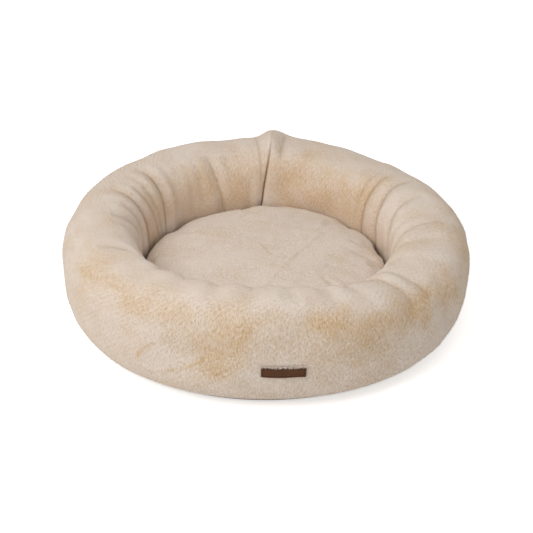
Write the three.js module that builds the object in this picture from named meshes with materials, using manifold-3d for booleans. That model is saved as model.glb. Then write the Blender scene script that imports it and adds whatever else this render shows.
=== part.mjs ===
// A round pet bed: a plump plush ring on a non-slip base, and a loose round cushion that
// lies in the nest inside the ring. The cushion's cover opens with a zip, so that its inner
// pad comes out for washing.
//
// Lengths are millimetres and +Z is up. The front faces -Y, and the origin is on the floor
// in the middle of the bed. A bearing is an angle in degrees round the bed, seen from above:
// 0 at the front, 90 at +X, 180 at the back.

import * as THREE from "three";
import { mergeVertices } from "three/addons/utils/BufferGeometryUtils.js";
import Module from "manifold-3d";

const wasm = await Module();
wasm.setup();

// The ring, measured to the tips of its pile.
const bedRadius = 295;
const nestRadius = 182;
const rimHeight = 152;
const ringSquareness = 2.6;
const ringCoverThickness = 12;
const footShare = 0.3;

// The outline and the crest aren't even: their shares at the front, the right front, the
// right and so on, an eighth of a turn apart.
const outlineShares = [0.985, 1.015, 1.02, 0.974, 1.005, 0.985, 1.008, 1.0];
const crestShares = [1.07, 0.935, 0.9, 0.99, 0.98, 1.04, 1.05, 1.03];

// Folds where the plush is gathered into the nest. Each has its bearing, its depth as a
// share of foldDepth, and the two turns of the ring's section that it runs between. A turn
// is an angle round the section: 0 outside, 90 on the crest, 180 inside.
const foldDepth = 9;
const foldWidth = 10;
const foldShares = [
  [8, 0.55, 70, 200],
  [20.5, 0.6, 70, 200],
  [30, 0.75, 62, 200],
  [43, 0.8, 45, 150],
  [50, 0.6, 45, 120],
  [104.5, 0.6, 85, 210],
  [115, 0.8, 80, 210],
  [124.5, 1, 95, 210],
  [172.5, 0.45, 80, 135],
  [182.5, 0.45, 85, 160],
  [202, 0.6, 110, 200],
  [237, 1, 92, 215],
  [253.5, 0.8, 92, 215],
  [268, 0.5, 110, 200],
  [300, 0.9, 78, 150],
  [316, 0.5, 85, 190],
  [330, 0.45, 80, 200],
  [344, 0.55, 70, 200],
  [355.5, 0.5, 70, 200],
];

// The closing seam of the ring's cover, at the back: a crease down the nest's wall, under a
// small peak of gathered plush on the crest.
const seamBearing = 178.5;
const seamTurns = [80, 235];
const seamDepth = 12;
const peakHeight = 8;
const peakWidth = 16;

// The base, and the floor of the nest, from the ground up.
const baseThickness = 2.4;
const waddingThickness = 7;
const liningThickness = 2.4;

// The cushion, which fills the nest up to its widest line, with a crown above and sides
// that draw in below.
const cushionClearance = 0.5;
const cushionSideHeight = 38;
const cushionCrown = 42;
const cushionTuck = 41.5;
const cushionSquareness = 3;
const cushionCoverThickness = 4;

// The inner pad, in a thin case of its own.
const padClearance = 2;
const padCaseThickness = 1.5;
const padTuck = 82;

// The zip, let into the seam low on the cushion's back. Places across it are measured from
// its middle, and depths from the cushion's surface.
const seamAngle = 55;
const zipMiddleBearing = 180;
const zipSpread = 124;
const furrowWidth = 12.4;
const tapeReach = 10;
const tapeThickness = 0.8;
const tapeDepth = 4.6;
const teethPitch = 5;
const teethReach = 3;
const teethHeight = 2;
const toothOverlap = 0.8;

// The slider and its pull tab.
const sliderLength = 12;
const sliderWidth = 9.6;
const sliderTailWidth = 8.4;
const sliderPlate = 1.1;
const sliderFlange = 0.9;
const wedgeWidth = 2.6;
const wedgeLength = 3.6;
const bailLength = 6.4;
const bailWidth = 2;
const bailWall = 1;
const bailRise = 1.9;
const pullLength = 15;
const pullWidth = 6;
const pullThickness = 1.2;
const pullWindow = 3.1;
const stopLength = 2.6;

// The leather-look patch on the front of the ring, with a line pressed in round its edge.
const patchWidth = 58;
const patchHeight = 16;
const patchThickness = 1.6;
const patchBearing = 4.8;
const patchMiddleHeight = 74;
const patchLine = 0.8;
const patchLineDepth = 0.5;
const patchMargin = 1.8;

// The gap that touching pieces keep, and how far a cut runs past what it cuts.
const gap = 0.3;
const overrun = 2;

const ringStationCount = 72;
const coreStationCount = 32;
const cushionStationCount = 52;
const padStationCount = 36;
const tapeStationCount = 40;
const patchStationCount = 6;
const pullArcCount = 8;

const radians = THREE.MathUtils.degToRad;

// Meshes from sections.

// The point at a bearing, a radius and a height.
function place(bearing, radius, height) {
  const angle = radians(bearing);
  return new THREE.Vector3(radius * Math.sin(angle), -radius * Math.cos(angle), height);
}

// Equal steps of bearing, from first to last.
function steps(first, last, count) {
  return Array.from({ length: count + 1 }, (_, i) => first + ((last - first) * i) / count);
}

// A geometry with shared vertices, without the triangles that have no area, facing out.
function closed(geometry) {
  geometry.deleteAttribute("normal");
  geometry.deleteAttribute("uv");
  const merged = mergeVertices(geometry);
  const points = merged.getAttribute("position");
  const corners = merged.index.array;
  const kept = [];
  let volume = 0;
  const [a, b, c] = [new THREE.Vector3(), new THREE.Vector3(), new THREE.Vector3()];
  for (let i = 0; i < corners.length; i += 3) {
    const [p, q, r] = [corners[i], corners[i + 1], corners[i + 2]];
    if (p === q || q === r || r === p) continue;
    kept.push([p, q, r]);
    a.fromBufferAttribute(points, p);
    b.fromBufferAttribute(points, q);
    c.fromBufferAttribute(points, r);
    volume += a.dot(b.cross(c));
  }
  merged.setIndex(kept.flatMap(([p, q, r]) => (volume < 0 ? [p, r, q] : [p, q, r])));
  return merged;
}

// A closed skin through sections. Each section is a loop of [radius, height] pairs at one
// bearing, all with the same number of points. On a whole turn the last section meets the
// first, and otherwise the two ends are capped.
function sweep(bearings, sectionAt, wholeTurn) {
  const sections = bearings.map((bearing) => sectionAt(bearing));
  const count = sections[0].length;
  const points = sections.flatMap((section, i) =>
    section.map(([radius, height]) => place(bearings[i], radius, height)),
  );
  const index = [];
  const spans = wholeTurn ? sections.length : sections.length - 1;
  for (let i = 0; i < spans; i++) {
    const here = i * count;
    const next = ((i + 1) % sections.length) * count;
    for (let j = 0; j < count; j++) {
      const k = (j + 1) % count;
      index.push(here + j, next + j, next + k, here + j, next + k, here + k);
    }
  }
  if (!wholeTurn) {
    const last = (sections.length - 1) * count;
    const outline = sections[0].map(([radius, height]) => new THREE.Vector2(radius, height));
    const turned = THREE.ShapeUtils.isClockWise(outline);
    for (const [p, q, r] of THREE.ShapeUtils.triangulateShape(outline, [])) {
      const [s, t] = turned ? [r, q] : [q, r];
      index.push(p, s, t, last + p, last + t, last + s);
    }
  }
  const geometry = new THREE.BufferGeometry().setFromPoints(points);
  geometry.setIndex(index);
  return closed(geometry);
}

function solidOf(geometry) {
  return new wasm.Manifold(
    new wasm.Mesh({
      numProp: 3,
      vertProperties: geometry.getAttribute("position").array,
      triVerts: new Uint32Array(geometry.index.array),
    }),
  );
}

function geometryOf(solid) {
  const mesh = solid.getMesh();
  const geometry = new THREE.BufferGeometry();
  geometry.setAttribute("position", new THREE.BufferAttribute(mesh.vertProperties, 3));
  geometry.setIndex(new THREE.BufferAttribute(mesh.triVerts, 1));
  return geometry;
}

function joined(...geometries) {
  return geometryOf(geometries.map(solidOf).reduce((sum, next) => sum.add(next)));
}

function cut(geometry, ...tools) {
  return geometryOf(
    tools.map(solidOf).reduce((rest, tool) => rest.subtract(tool), solidOf(geometry)),
  );
}

// A box between two corners.
function block([x0, x1], [y0, y1], [z0, z1]) {
  const geometry = new THREE.BoxGeometry(x1 - x0, y1 - y0, z1 - z0);
  geometry.translate((x0 + x1) / 2, (y0 + y1) / 2, (z0 + z1) / 2);
  return closed(geometry);
}

// A shape in the X-Y plane, drawn up from one height to another.
function prism(shape, [z0, z1]) {
  const geometry = new THREE.ExtrudeGeometry(shape, { depth: z1 - z0, bevelEnabled: false });
  geometry.translate(0, 0, z0);
  return closed(geometry);
}

// The ring.

// A smooth closed curve through shares at equal steps of bearing, the first at bearing 0.
function around(shares, bearing) {
  const count = shares.length;
  const at = THREE.MathUtils.euclideanModulo(bearing / 360, 1) * count;
  const first = Math.floor(at);
  const part = at - first;
  const [a, b, c, d] = [-1, 0, 1, 2].map((k) => shares[(first + k + count) % count]);
  const bend = 2 * a - 5 * b + 4 * c - d;
  return b + (part * (c - a + part * (bend + part * (3 * (b - c) + d - a)))) / 2;
}

// The short way round from one bearing to another, as a length at a radius.
function lengthAway(bearing, other, radius) {
  const turn = THREE.MathUtils.euclideanModulo(bearing - other + 180, 360) - 180;
  return radians(turn) * radius;
}

// A smooth rise from 0 to 1 and back, along a fold between its two turns.
function foldFade(turn, from, to) {
  const part = THREE.MathUtils.clamp((turn - from) / (to - from), 0, 1);
  return Math.sin(Math.PI * part) ** (1 / 2);
}

// How deep the folds and the closing seam dent the ring at a bearing and a turn.
function dent(bearing, turn) {
  let depth = 0;
  for (const [at, depthShare, from, to] of foldShares) {
    const away = lengthAway(bearing, at, nestRadius) / foldWidth;
    depth += foldDepth * depthShare * foldFade(turn, from, to) * Math.exp(-away * away);
  }
  const away = lengthAway(bearing, seamBearing, nestRadius) / foldWidth;
  return depth + seamDepth * foldFade(turn, ...seamTurns) * Math.exp(-away * away);
}

const seatHeight = baseThickness + gap;

function outerRadius(bearing) {
  return bedRadius * around(outlineShares, bearing);
}

function crestHeight(bearing) {
  const away = lengthAway(bearing, seamBearing, nestRadius) / peakWidth;
  return rimHeight * around(crestShares, bearing) + peakHeight * Math.exp(-away * away);
}

// The ring's section is a squarish oval. Its half width, half height and middle:
function ringFrame(bearing) {
  const outer = outerRadius(bearing);
  const halfWidth = (outer - nestRadius) / 2;
  const halfHeight = (crestHeight(bearing) - seatHeight) / 2;
  return { halfWidth, halfHeight, middle: (outer + nestRadius) / 2 };
}

function ovalShare(value) {
  return Math.sign(value) * Math.abs(value) ** (2 / ringSquareness);
}

// A point on the oval at a turn, drawn in by an inset.
function ringPoint(bearing, turn, inset) {
  const { halfWidth, halfHeight, middle } = ringFrame(bearing);
  return [
    middle + (halfWidth - inset) * ovalShare(Math.cos(radians(turn))),
    seatHeight + halfHeight + (halfHeight - inset) * ovalShare(Math.sin(radians(turn))),
  ];
}

// A section from the outer foot over the crest to the inner foot. The feet stand where the
// cover is sewn to the base.
function ringSection(bearing, turns, insetAt, footHeight) {
  const { halfWidth, middle } = ringFrame(bearing);
  const foot = (halfWidth - insetAt(0)) * footShare;
  return [
    [middle + foot, footHeight],
    ...turns.map((turn) => ringPoint(bearing, turn, insetAt(turn))),
    [middle - foot, footHeight],
  ];
}

// The outer radius of the ring's wall at a height.
function wallRadius(bearing, height) {
  const { halfWidth, halfHeight, middle } = ringFrame(bearing);
  const share = Math.abs((height - seatHeight) / halfHeight - 1) ** ringSquareness;
  return middle + halfWidth * (1 - share) ** (1 / ringSquareness);
}

// Equal steps of bearing, with the nearest one moved onto each fold, so that it shows.
const ringBearings = steps(0, 360, ringStationCount).slice(0, -1);
for (const at of [...foldShares.map(([bearing]) => bearing), seamBearing]) {
  const nearest = Math.round((at / 360) * ringStationCount) % ringStationCount;
  ringBearings[nearest] = at;
}

const coverTurns = [-50, -14, 8, 38, 66, 92, 118, 146, 174, 214];
const coreTurns = [-38, 8, 48, 90, 132, 172, 218];
const coreBearings = steps(0, 360, coreStationCount).slice(0, -1);

// The filling's shape, drawn in from the ring's outside.
function ringCore(inset, footHeight) {
  return sweep(
    coreBearings,
    (bearing) => ringSection(bearing, coreTurns, () => inset, footHeight),
    true,
  );
}

function ringCover() {
  const outside = sweep(
    ringBearings,
    (bearing) => ringSection(bearing, coverTurns, (turn) => dent(bearing, turn), seatHeight),
    true,
  );
  return cut(outside, ringCore(ringCoverThickness, seatHeight - overrun));
}

function ringFilling() {
  return ringCore(ringCoverThickness + gap, seatHeight);
}

// A flat disc whose edge follows a radius that changes with the bearing.
function disc(bearings, radiusAt, [low, high]) {
  const sectionAt = (bearing) => [
    [0, low],
    [radiusAt(bearing), low],
    [radiusAt(bearing), high],
    [0, high],
  ];
  return sweep(bearings, sectionAt, true);
}

const waddingBottom = baseThickness + gap;
const liningBottom = waddingBottom + waddingThickness + gap;
const liningTop = liningBottom + liningThickness;

// The nest's wall leans in from its foot, so the floor ends where its top meets the wall.
function floorRadius(bearing) {
  const { halfWidth, middle } = ringFrame(bearing);
  const foot = middle - halfWidth * footShare;
  const [radius, height] = ringPoint(bearing, coverTurns.at(-1), 0);
  const part = (liningTop - seatHeight) / (height - seatHeight);
  return foot + (radius - foot) * part - gap;
}

function basePanel() {
  const edge = (bearing) => {
    const { halfWidth, middle } = ringFrame(bearing);
    return middle + halfWidth * footShare;
  };
  return disc(ringBearings, edge, [0, baseThickness]);
}

// The patch.

// A curved plate on the ring's front wall: half its width and height, and its two depths
// from the wall.
function patchPlate(halfWide, halfHigh, near, far, middleHeight = patchMiddleHeight) {
  const spread = THREE.MathUtils.radToDeg(halfWide / bedRadius);
  const heights = [middleHeight - halfHigh, middleHeight + halfHigh];
  return sweep(
    steps(patchBearing - spread, patchBearing + spread, patchStationCount),
    (bearing) => {
      const [low, high] = heights.map((height) => wallRadius(bearing, height));
      return [
        [low + near, heights[0]],
        [low + far, heights[0]],
        [high + far, heights[1]],
        [high + near, heights[1]],
      ];
    },
    false,
  );
}

function patch() {
  const face = gap + patchThickness;
  const plate = patchPlate(patchWidth / 2, patchHeight / 2, gap, face);
  const lineWide = patchWidth / 2 - patchMargin;
  const lineHigh = patchHeight / 2 - patchMargin;
  const floor = face - patchLineDepth;
  const groove = cut(
    patchPlate(lineWide, lineHigh, floor, face + overrun),
    patchPlate(lineWide - patchLine, lineHigh - patchLine, floor - overrun, face + 2 * overrun),
  );
  return cut(plate, groove);
}

// The cushion.

const cushionBottom = liningTop + gap;
const cushionRadius = nestRadius - cushionClearance;

// The outline of a round pillow, from the top of its crown at 0 to its widest line at 1,
// to its flat underside at 2, and to the middle of that at 3. It returns a function of
// that place, which gives a radius and a height.
function pillow({ radius, bottom, side, crown, tuck }) {
  return (at) => {
    if (at <= 1) {
      const angle = (Math.PI / 2) * (1 - at);
      const reach = Math.max(Math.cos(angle), 0) ** (2 / cushionSquareness);
      return [radius * reach, bottom + side + crown * Math.sin(angle)];
    }
    if (at <= 2) {
      const angle = (Math.PI / 2) * (2 - at);
      return [radius - tuck * (1 - Math.sin(angle)), bottom + side * (1 - Math.cos(angle))];
    }
    return [(radius - tuck) * (3 - at), bottom];
  };
}

// The outward direction of an outline at a place.
function outward(outline, at) {
  const step = 1e-4;
  const [r0, z0] = outline(Math.max(at - step, 0));
  const [r1, z1] = outline(Math.min(at + step, 3));
  const length = Math.hypot(r1 - r0, z1 - z0);
  return [-(z1 - z0) / length, (r1 - r0) / length];
}

// The point at a depth below an outline, which stays on the axis at the two ends.
function below(outline, at, depth) {
  const [radius, height] = outline(at);
  if (at === 0) return [0, height - depth];
  if (at === 3) return [0, height + depth];
  const [r, z] = outward(outline, at);
  return [radius - r * depth, height - z * depth];
}

const coverOutline = pillow({
  radius: cushionRadius,
  bottom: cushionBottom,
  side: cushionSideHeight,
  crown: cushionCrown,
  tuck: cushionTuck,
});

// A panel between two places on an outline, as thick as given: out along the outline and
// back below it.
function panelSection(outline, places, thickness) {
  const out = places.map((at) => outline(at));
  const back = [...places].reverse().map((at) => below(outline, at, thickness));
  return [...out, ...back];
}

// The seam's place on the outline, and how far the outline runs in a unit of place there.
const seamPlace = 2 - seamAngle / 90;
const seamFrame = (() => {
  const [radius, height] = coverOutline(seamPlace);
  const [r, z] = outward(coverOutline, seamPlace);
  return { radius, height, out: { r, z }, up: { r: -z, z: r } };
})();
const stepShare = 0.01;
const runAtSeam = (() => {
  const [r0, z0] = coverOutline(seamPlace);
  const [r1, z1] = coverOutline(seamPlace + stepShare);
  return Math.hypot(r1 - r0, z1 - z0) / stepShare;
})();

const zipHalf = zipSpread / 2;
const zipEnds = [zipMiddleBearing - zipHalf, zipMiddleBearing + zipHalf];

// Half the opening between the two panels: the furrow along the zip, and a closed seam
// elsewhere.
function halfOpening(bearing) {
  const inside = bearing >= zipEnds[0] && bearing <= zipEnds[1];
  return inside ? furrowWidth / 2 : gap / 2;
}

// Stations round the cushion, with one at each end of the zip and one just outside it.
const furrowEndTurn = THREE.MathUtils.radToDeg(furrowWidth / 2 / cushionRadius);
const cushionBearings = [
  ...steps(zipEnds[0], zipEnds[1], Math.round((cushionStationCount * zipSpread) / 360)),
  ...steps(
    zipEnds[1] + furrowEndTurn,
    zipEnds[0] + 360 - furrowEndTurn,
    Math.round((cushionStationCount * (360 - zipSpread)) / 360),
  ),
];

const crownShares = [0, 0.1, 0.22, 0.36, 0.5, 0.64, 0.78, 0.9, 1, 1.14];

function cushionTop() {
  const sectionAt = (bearing) => {
    const edge = seamPlace - halfOpening(bearing) / runAtSeam;
    const tapeEnd = seamPlace - tapeReach / runAtSeam;
    return panelSection(coverOutline, [...crownShares, tapeEnd, edge], cushionCoverThickness);
  };
  return sweep(cushionBearings, sectionAt, true);
}

function cushionUnderside() {
  const sectionAt = (bearing) => {
    const edge = seamPlace + halfOpening(bearing) / runAtSeam;
    const tapeEnd = seamPlace + tapeReach / runAtSeam;
    const places = [edge, tapeEnd, (tapeEnd + 2) / 2, 2, 3];
    return panelSection(coverOutline, places, cushionCoverThickness);
  };
  return sweep(cushionBearings, sectionAt, true);
}

// The pad lies on the underside panel, with a little room at its side and crown.
const padBottom = cushionBottom + cushionCoverThickness + gap;
const padRadius = cushionRadius - cushionCoverThickness - padClearance;
const padSide = cushionBottom + cushionSideHeight - padBottom;
const padCrown = cushionCrown - cushionCoverThickness - padClearance;
const padOutline = pillow({
  radius: padRadius,
  bottom: padBottom,
  side: padSide,
  crown: padCrown,
  tuck: padTuck,
});
const padBearings = steps(0, 360, padStationCount).slice(0, -1);
const padCrownShares = [0, 0.2, 0.42, 0.64, 0.84];
const padSideShares = [1.3, 1.65, 2, 3];
const padSeamShare = gap / 2 / padSide;

function padCaseTop() {
  const section = panelSection(
    padOutline,
    [...padCrownShares, 1 - padSeamShare],
    padCaseThickness,
  );
  return sweep(padBearings, () => section, true);
}

function padCaseUnderside() {
  const section = panelSection(
    padOutline,
    [1 + padSeamShare, ...padSideShares],
    padCaseThickness,
  );
  return sweep(padBearings, () => section, true);
}

function padFilling() {
  const depth = padCaseThickness + gap;
  const places = [...padCrownShares, 1, ...padSideShares];
  const section = places.map((at) => below(padOutline, at, depth));
  return sweep(padBearings, () => section, true);
}

// The zip.

// A point across the zip, at a length up from its middle and a height off the surface.
function acrossZip(up, out) {
  return [
    seamFrame.radius + seamFrame.up.r * up + seamFrame.out.r * out,
    seamFrame.height + seamFrame.up.z * up + seamFrame.out.z * out,
  ];
}

const tapeInner = wedgeWidth / 2 + 2 * gap;
const zipRadius = seamFrame.radius;
const turnOf = (length) => THREE.MathUtils.radToDeg(length / zipRadius);

// A tape follows the cushion's curve behind one panel: side is 1 above the zip, -1 below.
function tape(side) {
  const places = [tapeInner, (tapeInner + tapeReach) / 2, tapeReach].map(
    (reach) => seamPlace - (side * reach) / runAtSeam,
  );
  const near = places.map((at) => below(coverOutline, at, tapeDepth));
  const far = places.map((at) => below(coverOutline, at, tapeDepth + tapeThickness));
  const section = [...near, ...far.reverse()];
  return sweep(
    steps(zipEnds[0] - furrowEndTurn, zipEnds[1] + furrowEndTurn, tapeStationCount),
    () => section,
    false,
  );
}

// The slider rests at the closed end of the zip, against its stop.
const stopMiddle = zipEnds[0] + turnOf(gap + stopLength / 2);
const sliderBearing = stopMiddle + turnOf(stopLength / 2 + gap + sliderLength / 2);
const endStopMiddle = zipEnds[1] - turnOf(gap + stopLength / 2);
const teethFirst = sliderBearing - turnOf(sliderLength / 2 - wedgeLength - 3 * gap);
const teethLast = endStopMiddle - turnOf(stopLength / 2 + gap);
const teethCount = Math.floor((teethLast - teethFirst) / turnOf(teethPitch));

const teethOut = -(tapeDepth - gap);
const teethTop = teethOut + teethHeight;

// A row of teeth: its inner edge runs to and fro past the middle of the zip, and the other
// row runs to and fro half a pitch later, so that the two mesh.
function teeth(side) {
  const bearings = steps(teethFirst, teethFirst + teethCount * turnOf(teethPitch), teethCount * 2);
  const valley = toothOverlap + gap;
  const phase = side > 0 ? 0 : 1;
  const inner = new Map(
    bearings.map((bearing, i) => [bearing, (i + phase) % 2 ? valley : -toothOverlap]),
  );
  const sectionAt = (bearing) => [
    acrossZip(side * inner.get(bearing), teethOut),
    acrossZip(side * teethReach, teethOut),
    acrossZip(side * teethReach, teethTop),
    acrossZip(side * inner.get(bearing), teethTop),
  ];
  return sweep(bearings, sectionAt, false);
}

// The slider and its neighbours are made flat, with X along the zip, Y up across it and Z
// out of the cushion, and then set at their bearing.
function seatOnZip(group, bearing) {
  const angle = radians(bearing);
  const along = new THREE.Vector3(Math.cos(angle), Math.sin(angle), 0);
  const direction = ({ r, z }) => new THREE.Vector3(r * Math.sin(angle), -r * Math.cos(angle), z);
  const up = direction(seamFrame.up);
  const out = direction(seamFrame.out);
  group.quaternion.setFromRotationMatrix(new THREE.Matrix4().makeBasis(along, up, out));
  group.position.copy(place(bearing, seamFrame.radius, seamFrame.height));
  return group;
}

// The channel between the slider's two plates clears the teeth and the tapes.
const channelTop = teethTop + gap;
const channelFloor = -(tapeDepth + tapeThickness + 2 * gap);
const sliderTop = channelTop + sliderPlate;
const pivotHeight = sliderTop + bailRise / 2;

// A plate's outline: wide at the mouth, where the rows come in apart, and narrow at the tail.
function sliderOutline() {
  const [half, mouth, tail] = [sliderLength / 2, sliderWidth / 2, sliderTailWidth / 2];
  const corner = mouth - tail;
  const shape = new THREE.Shape();
  shape.moveTo(-half, -mouth + corner);
  shape.lineTo(-half + corner, -mouth);
  shape.lineTo(0, -mouth);
  shape.lineTo(half - corner, -tail);
  shape.lineTo(half, -tail + corner);
  shape.lineTo(half, tail - corner);
  shape.lineTo(half - corner, tail);
  shape.lineTo(0, mouth);
  shape.lineTo(-half + corner, mouth);
  shape.lineTo(-half, mouth - corner);
  return shape;
}

// The bail: an arch along the slider, that the pull tab's end bar turns under.
function bail() {
  const half = bailLength / 2;
  const height = bailRise + bailWall;
  const inside = half - bailWall;
  const shape = new THREE.Shape();
  shape.moveTo(-half, -sliderPlate / 2);
  shape.lineTo(-inside, -sliderPlate / 2);
  shape.lineTo(-inside, bailRise);
  shape.lineTo(inside, bailRise);
  shape.lineTo(inside, -sliderPlate / 2);
  shape.lineTo(half, -sliderPlate / 2);
  shape.lineTo(half, height - bailWall);
  shape.lineTo(half - bailWall, height);
  shape.lineTo(-half + bailWall, height);
  shape.lineTo(-half, height - bailWall);
  const geometry = prism(shape, [-bailWidth / 2, bailWidth / 2]);
  geometry.rotateX(Math.PI / 2);
  geometry.translate(0, 0, sliderTop);
  return geometry;
}

function sliderBody() {
  const outline = sliderOutline();
  const outer = prism(outline, [channelTop, sliderTop]);
  const inner = prism(outline, [channelFloor - sliderPlate, channelFloor]);
  const wedge = new THREE.Shape();
  const front = -sliderLength / 2 + gap;
  wedge.moveTo(front, -wedgeWidth / 2);
  wedge.lineTo(front + wedgeLength / 2, -wedgeWidth / 2);
  wedge.lineTo(front + wedgeLength, 0);
  wedge.lineTo(front + wedgeLength / 2, wedgeWidth / 2);
  wedge.lineTo(front, wedgeWidth / 2);
  const post = prism(wedge, [channelFloor - sliderPlate / 2, channelTop + sliderPlate / 2]);
  const flangeFoot = -(tapeDepth - gap);
  const rim = prism(outline, [flangeFoot, channelTop + sliderPlate / 2]);
  const hollowWidth = sliderTailWidth / 2 - sliderFlange;
  const hollow = block(
    [-sliderLength, sliderLength],
    [-hollowWidth, hollowWidth],
    [flangeFoot - overrun, channelTop],
  );
  return joined(outer, cut(rim, hollow), inner, post, bail());
}

// The pull tab, flat: a plate with a window, whose end bar lies under the bail at X = 0.
function pullTab() {
  const half = pullWidth / 2;
  const bar = pullThickness / 2;
  const shape = new THREE.Shape();
  shape.moveTo(-bar, -half);
  shape.lineTo(pullLength - half, -half);
  shape.absarc(pullLength - half, 0, half, -Math.PI / 2, Math.PI / 2, false);
  shape.lineTo(-bar, half);
  const window = new THREE.Path();
  const side = bailWidth / 2 + 2 * gap;
  window.moveTo(bar, -side);
  window.lineTo(bar, side);
  window.lineTo(bar + pullWindow, side);
  window.lineTo(bar + pullWindow, -side);
  shape.holes.push(window);
  const geometry = new THREE.ExtrudeGeometry(shape, {
    depth: pullThickness,
    bevelEnabled: false,
    curveSegments: pullArcCount,
  });
  geometry.translate(0, 0, pivotHeight - pullThickness / 2);
  return closed(geometry);
}

// A stop grips both tapes: two jaws, joined by a web between the tapes' edges.
function stop() {
  const half = stopLength / 2;
  const jaws = block(
    [-half, half],
    [-teethReach, teethReach],
    [channelFloor - gap, teethTop],
  );
  const slot = (side) =>
    block(
      [-half - overrun, half + overrun],
      side > 0 ? [wedgeWidth / 2, teethReach + overrun] : [-teethReach - overrun, -wedgeWidth / 2],
      [-(tapeDepth + tapeThickness + gap), -(tapeDepth - gap)],
    );
  return cut(jaws, slot(1), slot(-1));
}

// Finishes, and the assembly.

function finish(color, roughness, metalness = 0) {
  return new THREE.MeshStandardMaterial({ color, roughness, metalness });
}

const finishes = {
  plush: finish("#d8c6b2", 0.95),
  cushionPlush: finish("#d4c6b9", 0.95),
  fibre: finish("#f2f0ec", 1),
  baseFabric: finish("#b9ab9b", 0.85),
  lining: finish("#cfc0af", 0.9),
  padCase: finish("#efece6", 0.9),
  patch: finish("#5c3d26", 0.55),
  tape: finish("#c9b8a4", 0.85),
  teeth: finish("#bfae9a", 0.4),
  zipMetal: finish("#b4aca0", 0.35, 0.9),
};

function piece(name, geometry, material) {
  const mesh = new THREE.Mesh(geometry, material);
  mesh.name = name;
  return mesh;
}

const bed = new THREE.Group();
bed.add(
  piece("bolster_cover", ringCover(), finishes.plush),
  piece("bolster_filling", ringFilling(), finishes.fibre),
  piece("base_panel", basePanel(), finishes.baseFabric),
  piece(
    "floor_wadding",
    disc(ringBearings, floorRadius, [waddingBottom, waddingBottom + waddingThickness]),
    finishes.fibre,
  ),
  piece(
    "floor_lining",
    disc(ringBearings, floorRadius, [liningBottom, liningTop]),
    finishes.lining,
  ),
  piece("label_patch", patch(), finishes.patch),
);

const cushion = new THREE.Group();
cushion.add(
  piece("cushion_top_panel", cushionTop(), finishes.cushionPlush),
  piece("cushion_bottom_panel", cushionUnderside(), finishes.lining),
  piece("pad_case_top", padCaseTop(), finishes.padCase),
  piece("pad_case_bottom", padCaseUnderside(), finishes.padCase),
  piece("pad_filling", padFilling(), finishes.fibre),
  piece("zip_tape_upper", tape(1), finishes.tape),
  piece("zip_tape_lower", tape(-1), finishes.tape),
  piece("zip_teeth_upper", teeth(1), finishes.teeth),
  piece("zip_teeth_lower", teeth(-1), finishes.teeth),
);
for (const [name, bearing] of [
  ["zip_top_stop", stopMiddle],
  ["zip_bottom_stop", endStopMiddle],
]) {
  const seat = seatOnZip(new THREE.Group(), bearing);
  seat.add(piece(name, stop(), finishes.zipMetal));
  cushion.add(seat);
}

const slider = seatOnZip(new THREE.Group(), sliderBearing);
slider.add(piece("zip_slider_body", sliderBody(), finishes.zipMetal));
slider.add(piece("zip_pull_tab", pullTab(), finishes.zipMetal));
cushion.add(slider);
bed.add(cushion);

export default bed;
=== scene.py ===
# %% [markdown]
# # A round plush pet bed
#
# The real object is a plump ring of long cream plush, sewn to a round base, with a loose
# round cushion in the nest. This lesson dresses the measured solids of that bed. Almost all
# that the eye meets is pile, so the shapes are worked out as arrays of points, the pile that
# lies close is a pattern on them, and its loose tips stand out of it as small locks of fibre.
#
# Lengths are millimetres until a mesh is made, which is in metres. A bearing is an angle in
# degrees round the bed, 0 at the front (-Y), 90 at +X and 180 at the back. A turn is an angle
# round the ring's section, 0 outside, 90 on the crest and 180 inside.

# %% The measured frame
import math

import bpy
import numpy as np
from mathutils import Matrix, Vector


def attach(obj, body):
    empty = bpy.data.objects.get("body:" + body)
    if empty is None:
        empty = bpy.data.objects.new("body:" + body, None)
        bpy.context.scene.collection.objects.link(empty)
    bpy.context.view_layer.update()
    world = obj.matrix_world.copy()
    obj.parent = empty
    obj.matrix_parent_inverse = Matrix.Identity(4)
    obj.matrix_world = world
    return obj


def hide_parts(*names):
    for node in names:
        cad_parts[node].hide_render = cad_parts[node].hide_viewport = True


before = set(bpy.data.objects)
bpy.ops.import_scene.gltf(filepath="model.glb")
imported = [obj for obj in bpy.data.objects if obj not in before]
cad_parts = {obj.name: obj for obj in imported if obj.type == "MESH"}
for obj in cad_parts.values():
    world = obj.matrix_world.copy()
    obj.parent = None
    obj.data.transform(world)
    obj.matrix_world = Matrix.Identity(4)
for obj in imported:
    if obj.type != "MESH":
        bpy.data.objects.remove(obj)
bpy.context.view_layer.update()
MM = 0.001

# %% [markdown]
# ## Camera
#
# The camera comes first, because every later choice is judged through it. It stands two
# metres away and looks down by 32 degrees, as a product photographer's does. It could be
# framed with lens shift, but then every other view would keep that shift, so it is aimed a
# little above the middle of the bed instead.

# %% Camera
VIEW_DISTANCE, VIEW_ELEVATION = 2006, 32.34
LENS, SENSOR = 89.76, 36.0
AIM_RIGHT, AIM_UP = 0.00157, 0.02551


def make_camera():
    """A camera on the front side at the elevation, aimed past the floor's middle by two slopes."""
    rise = math.radians(VIEW_ELEVATION)
    stand = Vector((0, -math.cos(rise), math.sin(rise))) * VIEW_DISTANCE * MM
    forward = -stand.normalized()
    right = forward.cross(Vector((0, 0, 1))).normalized()
    aim = forward + right * AIM_RIGHT + right.cross(forward) * AIM_UP
    data = bpy.data.cameras.new("camera")
    data.lens, data.sensor_width = LENS, SENSOR
    camera = bpy.data.objects.new("camera", data)
    camera.location = stand
    camera.rotation_euler = aim.to_track_quat("-Z", "Y").to_euler()
    bpy.context.scene.collection.objects.link(camera)
    bpy.context.scene.camera = camera
    return camera


print("camera at, m:", [round(v, 3) for v in make_camera().location])

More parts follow.
